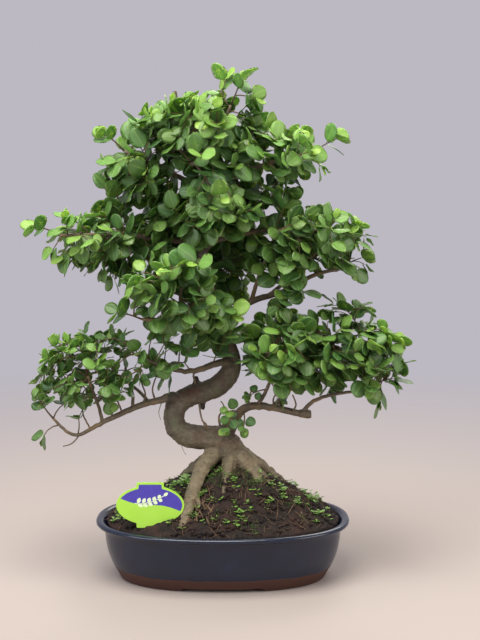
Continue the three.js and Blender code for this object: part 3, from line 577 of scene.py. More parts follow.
SEEDLING_GROUPS = 150
draw = np.random.default_rng(59)
sprouts = []
for _ in range(SEEDLING_GROUPS):
    foot, slope = on_soil(draw, 0.93)
    for _ in range(1 + int(2.6 * draw.random())):
        x, y = foot.x + draw.normal(0, 2.4), foot.y + draw.normal(0, 2.0)
        stem_foot = Vector((x, y, float(earth_height(x, y))))
        tall = 1.5 + 6.5 * draw.random() ** 1.8
        up_way = Vector((draw.uniform(-0.35, 0.35), draw.uniform(-0.35, 0.35), 1)).normalized()
        sprouts.append(strand(stem_foot - up_way, up_way, Vector((1, 0, 0.01)), tall + 1, 0.32, draw, 4, 3))
        turn = draw.uniform(0, 3.14)
        for level in range(1 if tall < 2.5 else 2):
            turn += 1.57
            at = stem_foot + up_way * (tall * (1 - 0.45 * level) - 0.3)
            for flip in (0, math.pi):
                a = turn + flip + draw.uniform(-0.2, 0.2)
                out_way = Vector((math.cos(a), math.sin(a), draw.uniform(0.05, 0.6))).normalized()
                side = out_way.cross(up_way).normalized()
                long = draw.uniform(2.6, 5.6) * (1 if level == 0 else 1.15)
                sprouts.append(sprout_leaf(at, out_way, side, side.cross(out_way), long, 0.4 * long))
points, faces = together(sprouts)
seedlings = piece("seedlings", points, faces, [sprout_skin])
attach(seedlings, "root")


# The tree's wood: a trunk that was wired into curves while it was young, then left to thicken, on
# roots that were bared little by little. The bark is thin, grey-brown and nearly smooth, with darker
# patches, pores and old pruning scars, and the roots are paler where earth was washed off them.

# Each line: x, y, z and radius. The roots' third number is the height of their middle over the soil.
trunk_line = [
    (12, 6, 100, 21), (12, 5, 122, 19), (10, 2, 143, 17), (-3, -1, 158, 15), (-22, -4, 161, 14),
    (-41, -5, 164, 13), (-53, -4, 173, 12), (-56, -2, 187, 11.5), (-50, 0, 201, 12), (-37, 2, 209, 12.5),
    (-19, 4, 214, 12.5), (-3, 5, 222, 13), (8, 4, 235, 11.5), (11, 2, 251, 10), (6, 0, 271, 8),
    (-2, -2, 292, 7.2), (-10, -3, 315, 6.8), (-17, -2, 341, 6.4), (-22, 0, 368, 6), (-23, 3, 395, 5.7),
    (-25, 4, 422, 5.3), (-31, 2, 452, 4.8), (-39, 0, 484, 4), (-46, -3, 516, 3), (-51, -5, 545, 2.2),
]
root_lines = [
    [
        (6, -2, 16, 12), (-12, -10, 18, 9), (-24, -24, 14, 7.5), (-33, -42, 7, 6), (-39, -58, 2, 5),
        (-44, -70, -6, 3.5),
    ],
    [(8, -4, 10, 10), (8, -20, 12, 7.5), (4, -34, 7, 5.5), (0, -48, 0, 4), (-3, -58, -7, 3)],
    [(12, 0, 12, 12), (28, -8, 12, 9), (36, -20, 8, 7), (46, -36, 1, 5), (54, -48, -7, 3.5)],
    [(12, 4, 10, 12), (34, 8, 9, 8.5), (54, 14, 3, 6.5), (72, 20, -3, 4.5), (84, 23, -8, 3)],
    [(10, 8, 10, 12), (8, 26, 9, 8.5), (0, 44, 3, 6.5), (-8, 58, -5, 4.5)],
    [(4, 4, 10, 12), (-18, 14, 8, 8.5), (-38, 24, 3, 6.5), (-58, 30, -6, 4)],
]
# Thin roots and knobs that fork off the six and fill the foot: x, y, height over the soil and radius
small_roots = [
    [(-20, -22, 13, 6), (-28, -34, 9, 4.6), (-28, -47, 3, 3.6), (-23, -60, -4, 2.4)],
    [(34, -16, 9, 6), (50, -23, 5, 4), (67, -34, -1, 3), (80, -44, -6, 2)],
    [(17, -12, 17, 8), (24, -16, 14, 9), (31, -20, 8, 7.5), (34, -25, 2, 5)],
    [(-6, -12, 19, 8), (-15, -17, 18, 9), (-22, -24, 14, 7)],
]
ROOT_GIRTH = 1.18
# Swollen collars where the branches leave the trunk, and the knobby ends of old cuts
collars = [
    [(-54, -2, 205, 8.6), (-58, -4, 208, 8.2), (-62, -5, 208, 5.6)],
    [(9, 1, 246, 10.4), (6, -4, 250, 7.4), (2, -8, 250.5, 5.4)],
    [(6, 2, 170, 9), (12, 4, 180, 8), (17, 3.6, 187, 6)],
    [(-24, 5, 203, 4.5), (-23, 1, 197, 3.4), (-23, -1, 194, 2.2)],
    [(-30, 8, 221, 6), (-31, 9, 227, 3.6), (-31, 9, 231, 2.8)],
    [(-2, -2, 300, 8), (6, 0, 292, 7), (12, 3, 300, 4.8)],
    [(-49, -4, 530, 3.6), (-52, -5, 546, 3), (-53, -5, 556, 2.8)],
]
branches = {
    "low_left": [
        (-50, 0, 201, 7), (-59, -4, 208, 6), (-69, -7, 206, 4.4), (-84, -9, 203, 3.8),
        (-103, -12, 197, 3.4), (-121, -15, 189, 3), (-137, -18, 182, 2.7), (-151, -20, 174, 2.3),
        (-165, -22, 168, 2), (-178, -24, 173, 1.8), (-192, -26, 188, 1.5),
    ],
    "low_left_rise": [
        (-137, -18, 182, 2.2), (-141, -19, 200, 1.9), (-148, -20, 220, 1.7), (-153, -20, 236, 1.5),
    ],
    "low_left_inner": [
        (-103, -12, 197, 2.2), (-103, -10, 212, 1.9), (-108, -6, 228, 1.7), (-112, 0, 242, 1.5),
    ],
    "low_left_back": [(-84, -9, 203, 2.4), (-96, 8, 212, 2), (-112, 22, 222, 1.7), (-130, 30, 232, 1.5)],
    "mid_low_left": [
        (9, 2, 247, 7), (3, -8, 250, 4.8), (-8, -13, 249, 4), (-22, -16, 244, 3.5), (-36, -18, 241, 3),
        (-55, -20, 243, 2.5), (-78, -23, 252, 2), (-100, -24, 262, 1.6),
    ],
    "front": [
        (-10, -3, 315, 5), (-26, -18, 314, 3.6), (-45, -34, 308, 3), (-66, -46, 304, 2.4),
        (-88, -50, 304, 1.8),
    ],
    "front_rise": [(-45, -34, 308, 2.4), (-46, -50, 324, 2), (-44, -62, 340, 1.6)],
    "low_right": [
        (-2, 0, 161, 8), (10, 4, 176, 6), (20, 3, 190, 5.4), (32, 0, 197, 4.8), (50, -4, 198, 4.3),
        (70, -6, 194, 4), (88, -6, 190, 3.8), (97, -6, 189, 3.4),
    ],
    "low_right_rise": [
        (58, -5, 197, 3), (72, -8, 213, 2.8), (86, -10, 232, 2.5), (100, -9, 246, 2.2),
        (120, -7, 258, 1.9), (142, -5, 268, 1.5),
    ],
    "low_right_inner": [(40, -2, 198, 2.6), (48, -10, 214, 2.2), (56, -16, 234, 1.9), (60, -20, 256, 1.5)],
    "low_right_back": [(66, -5, 195, 2.8), (76, 14, 212, 2.4), (88, 34, 232, 2), (100, 46, 250, 1.6)],
    "low_right_tip": [
        (91, -6, 190, 2.6), (102, -9, 203, 2.3), (122, -12, 212, 2), (146, -12, 216, 1.7),
        (168, -10, 219, 1.5),
    ],
    "mid_right": [
        (1, -1, 284, 6), (12, 3, 300, 4.4), (24, 5, 313, 4.2), (40, 6, 321, 3.8), (58, 6, 326, 3.4),
        (76, 5, 333, 3), (94, 3, 344, 2.6), (114, 0, 352, 2.2), (134, 0, 356, 1.8),
    ],
    "mid_right_rise": [(32, 6, 317, 2.8), (38, 0, 336, 2.4), (44, -8, 356, 2), (52, -14, 374, 1.6)],
    "mid_right_back": [(52, 6, 324, 2.8), (66, 24, 334, 2.4), (84, 42, 346, 2), (100, 52, 354, 1.6)],
    "back": [(-12, -3, 322, 5), (-12, 18, 328, 3.4), (-18, 36, 334, 2.8), (-28, 52, 340, 2)],
    "upper_right": [
        (-22, 1, 380, 5), (-4, -3, 390, 3.6), (26, -6, 397, 3), (58, -6, 402, 2.6), (90, -5, 402, 2.2),
        (120, -3, 397, 1.7),
    ],
    "upper_left": [
        (-23, 2, 388, 5), (-44, -1, 387, 3.8), (-74, -5, 391, 3.3), (-105, -8, 395, 2.8),
        (-135, -9, 396, 2.4), (-165, -10, 395, 1.9), (-184, -10, 395, 1.5),
    ],
    "upper_front": [(-20, -1, 358, 5), (-24, -22, 366, 3.2), (-26, -40, 368, 2.6), (-28, -54, 366, 2)],
    "upper_back": [(-24, 4, 408, 5), (-20, 24, 406, 3.2), (-22, 42, 404, 2.6), (-26, 56, 402, 2)],
    "crown_left": [
        (-31, 2, 450, 4), (-50, 0, 461, 2.9), (-74, -4, 472, 2.5), (-96, -6, 482, 2),
        (-110, -6, 489, 1.6),
    ],
    "crown_right": [
        (-28, 3, 438, 4), (-6, 1, 452, 3.2), (24, -2, 466, 2.8), (54, -3, 476, 2.4), (84, -2, 484, 2),
        (104, -2, 489, 1.6),
    ],
    "crown_top": [
        (-38, 0, 480, 3.6), (-25, -2, 496, 2.8), (-8, -4, 513, 2.4), (4, -4, 528, 2), (10, -4, 540, 1.6),
    ],
    "crown_front": [(-36, 1, 470, 3.6), (-34, -22, 474, 2.8), (-29, -40, 475, 2.1)],
    "crown_back": [(-34, 2, 462, 3.6), (-28, 26, 470, 2.8), (-20, 46, 474, 2.1)],
}


def smooth_line(line, step):
    """The same line with more points, about a step apart, on an even curve through the given ones."""
    line = np.array(line, float)
    padded = np.vstack([2 * line[0] - line[1], line, 2 * line[-1] - line[-2]])
    out, order = [], []
    for i in range(1, len(line)):
        p0, p1, p2, p3 = padded[i - 1 : i + 3]
        steps = max(1, int(np.linalg.norm((p2 - p1)[:3]) / step))
        for k in range(steps):
            t = k / steps
            out.append(
                0.5 * (2 * p1 + (p2 - p0) * t + (2 * p0 - 5 * p1 + 4 * p2 - p3) * t**2
                       + (3 * p1 - p0 - 3 * p2 + p3) * t**3)
            )
            order.append(i - 1 + t)
    return np.vstack([out, line[-1]]), np.array(order + [len(line) - 1.0])


def limb(line, sides, step, swell=0.0, knots=0.0, seed=0, ridges=0.0):
    """A closed limb round a line, as points and faces, with a trunk's swells and small knots."""
    line, order = smooth_line(line, step)
    middle, radius = line[:, :3], np.maximum(line[:, 3], 0.3)
    ahead = np.gradient(middle, axis=0)
    ahead /= np.linalg.norm(ahead, axis=1)[:, None]
    across = np.array([0.0, 1.0, 0.0])
    turn = 2 * math.pi * np.arange(sides) / sides
    draw = np.random.default_rng(seed)
    knobs = draw.random(len(line))
    rows = []
    for i, (m, r, a) in enumerate(zip(middle, radius, ahead)):
        across = across - a * np.dot(across, a)
        across /= np.linalg.norm(across)
        third = np.cross(a, across)
        wave = 1 + swell * (np.sin(2 * turn + 0.7 * order[i]) + 0.7 * np.sin(3 * turn - 0.45 * order[i]))
        wave += ridges * np.sin(7 * turn + 0.5 * order[i] + seed) * np.sin(3 * turn + seed)
        wave += knots * (knobs[i] ** 4) * np.cos(turn - 6.28 * knobs[i - 1])
        ring = np.cos(turn)[:, None] * across + np.sin(turn)[:, None] * third
        rows.append(m + (r * wave)[:, None] * ring)
    return np.concatenate(rows), closed(rows)


def start_of(line, long):
    """The first part of a branch, which grows together with the wood that carries it."""
    line, _ = smooth_line(line, 2.0)
    run = np.concatenate([[0], np.cumsum(np.linalg.norm(np.diff(line[:, :3], axis=0), axis=1))])
    part = line[run <= long].copy()
    share = run[run <= long] / long
    part[:, 3] *= 1 + 0.28 * np.clip(1 - 1.7 * share, 0, 1)
    return part


# Everything thick is lofted one by one, then melted into one skin of fine cells and eased, so that the
# roots and branches flow out of the trunk. Branches with a radius over THICK_BRANCH are in that skin
# too, for their first BRANCH_START.
CELL, THICK_BRANCH, BRANCH_START = 1.0, 3.5, 22
heavy = [limb(trunk_line, sides=40, step=3, swell=0.035)]
for index, line in enumerate(root_lines + small_roots):
    girth = ROOT_GIRTH if line in root_lines else 1
    raised = [(x, y, float(soil_height(x, y)) + lift, r * girth) for x, y, lift, r in line]
    heavy.append(limb(raised, sides=28, step=3, swell=0.08, knots=0.3, seed=index, ridges=0.13))
heavy += [limb(line, sides=20, step=1.5, swell=0.05) for line in collars]
for line in branches.values():
    if line[0][3] > THICK_BRANCH:
        heavy.append(limb(start_of(line, BRANCH_START), sides=14, step=2))
points, faces = together(heavy)
trunk = piece("trunk_and_roots", points, faces, [])
grown = trunk.modifiers.new("grown_together", "REMESH")
grown.mode = "VOXEL"
grown.voxel_size = CELL * MM
grown.use_smooth_shade = True
eased = trunk.modifiers.new("eased", "SMOOTH")
eased.factor = 0.5
eased.iterations = 6
carve(trunk, [])

# Bark relief: bulges of 15 mm, wrinkles of 4 mm and pores of 2 mm, all weaker on the thin upper trunk
mesh = trunk.data
places = np.zeros(len(mesh.vertices) * 3)
mesh.vertices.foreach_get("co", places)
places = (places.reshape(-1, 3) - POT_MIDDLE) / MM
ways = np.zeros(len(mesh.vertices) * 3)
mesh.vertices.foreach_get("normal", ways)
ways = ways.reshape(-1, 3)
bulge = rough_field(places, 15, 2)
wrinkle = rough_field(places * np.array([1, 1, 1.9]), 4.2, 3)
pore = rough_field(places + 30, 1.7, 1)
thick = np.clip((330 - places[:, 2]) / 160, 0.25, 1)
places += ways * (thick * (1.1 * bulge + 0.62 * wrinkle + 0.16 * pore))[:, None]
mesh.vertices.foreach_set("co", metres(places).ravel())
mesh.update()

# What lies more than this far under the soil is never seen, and is left out
BURIED = 6
buried = places[:, 2] < soil_height(places[:, 0], places[:, 1]) - BURIED
shape = bmesh.new()
shape.from_mesh(mesh)
shape.verts.ensure_lookup_table()
bmesh.ops.delete(shape, geom=[shape.verts[i] for i in np.flatnonzero(buried)], context="VERTS")
shape.to_mesh(mesh)
shape.free()
mesh.polygons.foreach_set("use_smooth", [True] * len(mesh.polygons))

# Grown bark is dull and shows its colours more than its relief: grey-brown, mottled in 5 mm spots, with
# red-brown and green-grey patches of 16 mm, short dark pores that run across, and paler tan near the
# soil where earth was washed off. Its grain is finer than the render shows, and is drawn 0.9 mm wide.
bark, tree, shader = new_material("privet_bark_grown")
place = add(tree, "ShaderNodeTexCoord").outputs["Object"]
height = add(tree, "ShaderNodeSeparateXYZ", {0: place}).outputs["Z"]
patch = add(
    tree, "ShaderNodeTexNoise", {"Vector": place, "Scale": every(16.1), "Detail": 4, "Roughness": 0.6}
).outputs[0]
mottle = add(
    tree, "ShaderNodeTexNoise", {"Vector": place, "Scale": every(4.76), "Detail": 4}
).outputs["Fac"]
pore_size = (every(6.25), every(6.25), every(1.11))
squeezed = add(
    tree, "ShaderNodeVectorMath", {0: place, 1: pore_size}, operation="MULTIPLY"
).outputs["Vector"]
lenticel = add(tree, "ShaderNodeTexNoise", {"Vector": squeezed, "Scale": 1, "Detail": 3}).outputs["Fac"]
grain = add(
    tree, "ShaderNodeTexNoise", {"Vector": place, "Scale": every(0.909), "Detail": 3}
).outputs["Fac"]
grey = add(
    tree, "ShaderNodeMix", {0: mottle, 6: colour("#3f392f"), 7: colour("#7e745f")}, data_type="RGBA"
).outputs[2]
red_patch = add(tree, "ShaderNodeMapRange", {"Value": patch, "From Min": 0.5, "From Max": 0.72}).outputs[0]
grey = add(
    tree, "ShaderNodeMix", {0: red_patch, 6: grey, 7: colour("#5e4337")}, data_type="RGBA"
).outputs[2]
algae = add(tree, "ShaderNodeMapRange", {"Value": patch, "From Min": 0.44, "From Max": 0.3}).outputs[0]
algae = add(tree, "ShaderNodeMath", {0: algae, 1: 0.7}, operation="MULTIPLY").outputs[0]
grey = add(tree, "ShaderNodeMix", {0: algae, 6: grey, 7: colour("#62684a")}, data_type="RGBA").outputs[2]
pale = add(
    tree, "ShaderNodeMapRange", {"Value": height, "From Min": 168 * MM, "From Max": 140 * MM}
).outputs[0]
pale = add(tree, "ShaderNodeMath", {0: pale, 1: 0.75}, operation="MULTIPLY").outputs[0]
tan = add(
    tree, "ShaderNodeMix", {0: mottle, 6: colour("#53493a"), 7: colour("#978a6b")}, data_type="RGBA"
).outputs[2]
grey = add(tree, "ShaderNodeMix", {0: pale, 6: grey, 7: tan}, data_type="RGBA").outputs[2]
lines = add(tree, "ShaderNodeMapRange", {"Value": lenticel, "From Min": 0.6, "From Max": 0.72}).outputs[0]
lines = add(tree, "ShaderNodeMath", {0: lines, 1: 0.7}, operation="MULTIPLY").outputs[0]
grey = add(tree, "ShaderNodeMix", {0: lines, 6: grey, 7: colour("#4a3d32")}, data_type="RGBA").outputs[2]
# Dark stains 29 mm wide, and darker bark still in the collars under the first branches
stain = add(
    tree, "ShaderNodeTexNoise", {"Vector": place, "Scale": every(29.4), "Detail": 5, "Roughness": 0.65}
).outputs[0]
stain = add(tree, "ShaderNodeMapRange", {"Value": stain, "From Min": 0.5, "From Max": 0.8}).outputs[0]
dark_knots = [((-58, -5, 207), 11), ((7, -4, 249), 9), ((-23, -1, 196), 6), ((-31, 9, 229), 6)]
for knot, reach in dark_knots:
    off = add(tree, "ShaderNodeVectorMath", {0: place, 1: tuple(metres(knot))}, operation="DISTANCE")
    near = {"Value": off.outputs["Value"], "From Min": reach * MM, "From Max": 0.5 * reach * MM}
    near = add(tree, "ShaderNodeMapRange", near).outputs[0]
    stain = add(tree, "ShaderNodeMath", {0: stain, 1: near}, operation="MAXIMUM").outputs[0]
stain = add(tree, "ShaderNodeMath", {0: stain, 1: 0.8}, operation="MULTIPLY").outputs[0]
grey = add(tree, "ShaderNodeMix", {0: stain, 6: grey, 7: colour("#2f2922")}, data_type="RGBA").outputs[2]
tree.links.new(grey, shader.inputs["Base Color"])
shader.inputs["Roughness"].default_value = 0.74
shader.inputs["IOR"].default_value = 1.45
relief = add(tree, "ShaderNodeMath", {0: lenticel, 1: -0.8, 2: grain}, operation="MULTIPLY_ADD").outputs[0]
bump = add(tree, "ShaderNodeBump", {"Height": relief, "Strength": 0.6, "Distance": 0.8 * MM}).outputs[0]
tree.links.new(bump, shader.inputs["Normal"])
trunk.data.materials.append(bark)
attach(trunk, "root")
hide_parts("tree")

# The branches' bark is younger than the trunk's: thinner, darker and browner, with pale flecks of
# 2.4 mm and lighter patches of 18 mm, spread at random
young_bark, tree, shader = new_material("privet_branch_bark_grown")
place = add(tree, "ShaderNodeTexCoord").outputs["Object"]
patch = add(tree, "ShaderNodeTexNoise", {"Vector": place, "Scale": every(18.2), "Detail": 4}).outputs["Fac"]
fleck = add(tree, "ShaderNodeTexNoise", {"Vector": place, "Scale": every(2.38), "Detail": 4}).outputs["Fac"]
brown = add(
    tree, "ShaderNodeMix", {0: fleck, 6: colour("#3a3026"), 7: colour("#837660")}, data_type="RGBA"
).outputs[2]
paler_patch = add(tree, "ShaderNodeMapRange", {"Value": patch, "From Min": 0.5, "From Max": 0.62}).outputs[0]
brown = add(tree, "ShaderNodeMix", {0: paler_patch, 6: brown, 7: colour("#7f6a4d")}, data_type="RGBA").outputs[2]
tree.links.new(brown, shader.inputs["Base Color"])
shader.inputs["Roughness"].default_value = 0.7
shader.inputs["IOR"].default_value = 1.45
bump = add(tree, "ShaderNodeBump", {"Height": fleck, "Strength": 0.5, "Distance": 0.6 * MM}).outputs[0]
tree.links.new(bump, shader.inputs["Normal"])

# Twigs without leaves: round the trunk's loop and along both low branches, with three that hang
bare_twigs = [
    [(-27, -8, 203, 1.5), (-25, -14, 190, 1.1), (-20, -15, 176, 0.8)],
    [(-31, -6, 224, 1.6), (-33, -12, 236, 1.2), (-30, -15, 244, 1.0)],
    [(-3, -8, 176, 1.6), (-4, -13, 188, 1.2), (2, -15, 199, 0.9), (-2, -15, 206, 0.7)],
    [(-17, -8, 170, 1.5), (-19, -15, 179, 1.1), (-24, -16, 184, 0.9)],
    [(-77, -8, 205, 1.3), (-80, -14, 219, 1.0), (-76, -16, 233, 0.8)],
    [(-92, -10, 201, 1.3), (-88, -16, 214, 1.0), (-92, -20, 229, 0.8), (-90, -22, 240, 0.6)],
    [(-115, -14, 192, 1.2), (-119, -20, 206, 1.0), (-128, -22, 219, 0.8)],
    [(-128, -16, 186, 1.2), (-124, -20, 201, 0.9), (-127, -24, 213, 0.7)],
    [(-150, -20, 174, 1.1), (-158, -22, 190, 0.9), (-160, -22, 207, 0.7)],
    [(-163, -22, 168, 1.0), (-172, -22, 158, 0.8), (-182, -24, 155, 0.6)],
    [(60, -6, 197, 1.3), (58, -16, 208, 1.0), (63, -22, 220, 0.8)],
    [(80, -8, 192, 1.4), (84, -16, 202, 1.0), (80, -20, 214, 0.8)],
    [(34, 1, 196, 1.3), (30, -10, 206, 1.0), (33, -16, 218, 0.8)],
    [(-47, -8, 168, 0.6), (-48, -12, 158, 0.45), (-45, -14, 148, 0.3), (-42, -14, 143, 0.25)],
    [(-70, -9, 203, 0.6), (-73, -13, 193, 0.45), (-71, -14, 184, 0.3)],
    [(-65, -8, 204, 0.6), (-66, -13, 190, 0.4), (-63, -14, 178, 0.3)],
]
knobby_end = [(88, -6, 190, 4), (94, -6, 190, 5.2), (99, -6, 189, 5.6), (102, -6, 189, 4.6)]
limbs = []
for seed, line in enumerate(branches.values()):
    limbs.append(limb(line, sides=10, step=3.5, swell=0.03, knots=0.35, seed=seed))
for seed, line in enumerate(bare_twigs):
    limbs.append(limb(line, sides=6, step=3, knots=0.5, seed=seed))
limbs.append(limb(knobby_end, sides=14, step=1.5, swell=0.12))
points, faces = together(limbs)
boughs = piece("branches", points, faces, [young_bark])
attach(boughs, "root")


# The sprays: leafy shoots past the end of each branch and all through its pad, with opposite pairs
# of small oval leaves on thin red-brown twigs. Each spray forks into shorter shoots of two or three
# pairs, which is what fills the pads after years of clipping.

# The pads that the sprays are spread through: middle and half size along x, y, z
pads = [
    ((-36, -2, 512), (72, 60, 46)),
    ((16, -4, 554), (36, 26, 27)),
    ((66, -2, 484), (76, 48, 36)),
    ((-96, -4, 476), (50, 46, 42)),
    ((-138, -8, 392), (84, 48, 40)),
    ((100, -4, 386), (76, 52, 48)),
    ((-6, 0, 424), (62, 80, 46)),
    ((-52, -52, 332), (60, 44, 46)),
    ((-14, 56, 350), (62, 42, 46)),
    ((-154, -12, 242), (80, 48, 58)),
    ((-74, -24, 272), (48, 36, 30)),
    ((70, -8, 264), (54, 60, 48)),
    ((150, -8, 256), (66, 46, 54)),
]
SPRAYS = 52

# All the room that the foliage fills, which the shorter shoots between the sprays are spread through
leafy_rooms = [
    ((-36, -2, 512), (74, 60, 47)), ((16, -4, 554), (36, 26, 28)), ((66, -2, 484), (74, 48, 36)),
    ((-94, -4, 474), (48, 46, 41)), ((-134, -8, 391), (80, 48, 41)), ((100, -4, 386), (76, 52, 49)),
    ((-6, 0, 424), (62, 76, 46)), ((-52, -52, 332), (61, 45, 47)), ((-14, 56, 350), (62, 42, 46)),
    ((-150, -12, 240), (76, 48, 56)), ((-76, -24, 262), (50, 36, 34)), ((70, -8, 262), (56, 60, 52)),
    ((150, -8, 254), (67, 47, 56)),
    ((-48, -18, 474), (26, 18, 20)), ((-114, -10, 434), (22, 20, 16)), ((12, -6, 562), (18, 14, 18)),
    ((25, -4, 538), (16, 14, 26)), ((118, -4, 498), (14, 16, 16)), ((66, -14, 424), (16, 22, 14)),
    ((146, -6, 362), (28, 22, 18)), ((80, -14, 334), (28, 24, 22)), ((-127, -16, 340), (22, 20, 20)),
    ((-68, -24, 246), (46, 26, 26)), ((50, -14, 216), (28, 24, 26)), ((186, -8, 222), (24, 20, 22)),
    ((-72, 0, 440), (32, 34, 36)), ((-92, -6, 376), (36, 30, 30)), ((-116, -10, 350), (26, 26, 18)),
    ((14, -20, 468), (28, 30, 24)), ((62, 0, 448), (36, 36, 26)), ((42, 0, 395), (26, 36, 34)),
    ((142, 0, 310), (32, 26, 16)), ((-6, -44, 300), (32, 22, 36)), ((95, 0, 230), (42, 26, 16)),
    ((-190, -20, 200), (20, 18, 16)), ((8, -26, 184), (15, 12, 30)),
    ((-182, -22, 180), (22, 16, 13)), ((-160, -22, 178), (16, 14, 13)),
    ((-60, 20, 400), (40, 40, 50)), ((20, 40, 380), (40, 30, 40)),
]
SHOOT_SPACING, MOST_ENDS = 19.5, 600
# The first spray stands low in front of the trunk
LOW_SHOOT = (24, -26, 176)
PAST_BRANCH, TIP_REACH, SHOOT_REACH = 30, 20, 16
PAD_PLACES, ROOM_PLACES = 1500, 9000
BUD_SPACING, SHORTEST_TWIG = 7, 30


def seeded(seed):
    """Draws from 0 to 1, the same row of them as the frame's own."""
    state = seed % 2**32

    def draw():
        nonlocal state
        state = (state * 1664525 + 1013904223) % 2**32
        return state / 2**32

    return draw


def places_in(rooms, count, draw, margin, least):
    """Places drawn inside rooms that are smaller by a margin, but not under a share of their size."""
    places = []
    while len(places) < count:
        at, half = rooms[int(draw() * len(rooms))]
        way = Vector((draw() - 0.5, draw() - 0.5, draw() - 0.5)) * 2
        if way.length < 1:
            places.append([at[k] + way[k] * max(half[k] - margin, least * half[k]) for k in range(3)])
    return np.array(places)


def spray_ends(draw):
    """Where the sprays end: past each branch, and then each as far as it can be from those before."""
    ends = [Vector(LOW_SHOOT)]
    for name, line in branches.items():
        before, last = Vector(line[-2][:3]), Vector(line[-1][:3])
        run = ((last - before).normalized() + Vector((0, 0, 0.3))).normalized()
        if name != "low_right":
            ends.append(last + run * PAST_BRANCH)
    return spread(ends, places_in(pads, PAD_PLACES, draw, TIP_REACH, 0), SPRAYS, 0)


def spread(ends, inside, most, spacing):
    """Adds ends, each as far as it can be from those before, up to that many or down to that spacing."""
    room = np.min([np.linalg.norm(inside - np.array(end), axis=1) for end in ends], axis=0)
    while len(ends) < most and room.max() > spacing:
        best = inside[np.argmax(room)]
        ends.append(Vector(best))
        room = np.minimum(room, np.linalg.norm(inside - best, axis=1))
    return ends


# Where twigs may grow from: the outer two thirds of every branch. The buds are the places taken.
buds = []
wood_points = []
for line in branches.values():
    for i in range(math.ceil(len(line) / 3), len(line)):
        for share in (0.25, 0.5, 0.75, 1):
            wood_points.append(Vector(line[i - 1][:3]).lerp(Vector(line[i][:3]), share))


def free_wood(target):
    """The nearest place on the branches that isn't near another spray's foot."""
    free = [p for p in wood_points if not any((bud - p).length < BUD_SPACING for bud in buds)]
    return min(free, key=lambda p: (p - target).length)


def bent(start, away, end, draw):
    """A twig's three guiding points: it sets off one way and bends to its end."""
    reach = (end - start).length
    bend = Vector((draw() - 0.5, draw() - 0.5, draw() - 0.2)) * (reach * 0.3)
    return start, start + away * (reach * 0.45) + bend, end


def along_bent(curve, t):
    """The place and the way ahead on a twig, t from 0 at its foot to 1 at its end."""
    a, b, c = curve
    place = a * (1 - t) ** 2 + b * (2 * t * (1 - t)) + c * t**2
    return place, ((b - a) * (1 - t) + (c - b) * t).normalized()


UP = Vector((0, 0, 1))
ATTEMPTS, CLOSE_ENOUGH = 24, 1.3


def main_twig(target, node, draw):
    """The spray's main twig, as near as can be to where the frame's solid has it."""
    corners = np.unique(np.array([v.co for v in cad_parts[node].data.vertices]).round(6), axis=0)
    corners = (corners - POT_MIDDLE) / MM
    best = None
    for attempt in range(ATTEMPTS):
        miss = Vector((draw() - 0.5, draw() - 0.5, draw() - 0.5)) * (2 * attempt)
        end = target + miss
        wood = free_wood(end)
        away = (end - wood).normalized()
        if (end - wood).length < SHORTEST_TWIG:
            end = wood + away * SHORTEST_TWIG
        curve = bent(wood, (away + UP * 0.15).normalized(), end, draw)
        off = np.linalg.norm(corners - np.array(end), axis=1).min()
        if best is None or off < best[0]:
            best = (off, curve, away)
        if off < CLOSE_ENOUGH:
            break
    return best[1:]


# A leaf blade: rows from the foot of its stalk to its tip, each with its distance out, its half
# width and how much of the blade's cup it has, and eight points round every row.
blade_rows = [
    (0.0, 0.035, 0.0), (0.12, 0.045, 0.0), (0.15, 0.36, 0.3), (0.23, 0.73, 0.75), (0.36, 0.95, 1.0),
    (0.53, 1.0, 1.0), (0.7, 0.93, 0.95), (0.85, 0.71, 0.8), (0.95, 0.4, 0.6), (1.0, 0.06, 0.5),
]
blade_u = np.array([r[0] for r in blade_rows])[:, None]
blade_w = np.array([r[1] for r in blade_rows])[:, None]
blade_cup = np.array([r[2] for r in blade_rows])[:, None]
round_v = np.array([-1, -0.52, 0, 0.52, 1, 0.52, 0, -0.52])[None, :]
under = np.array([0, 0, 0, 0, 0, 1, 1, 1])[None, :]
BLADE_THICK, MIDRIB_DEPTH = 0.38, 0.22
BLADE_POINTS = 8 * len(blade_rows)
blade_faces = [face[::-1] for face in closed(np.zeros((len(blade_rows), 8)))]


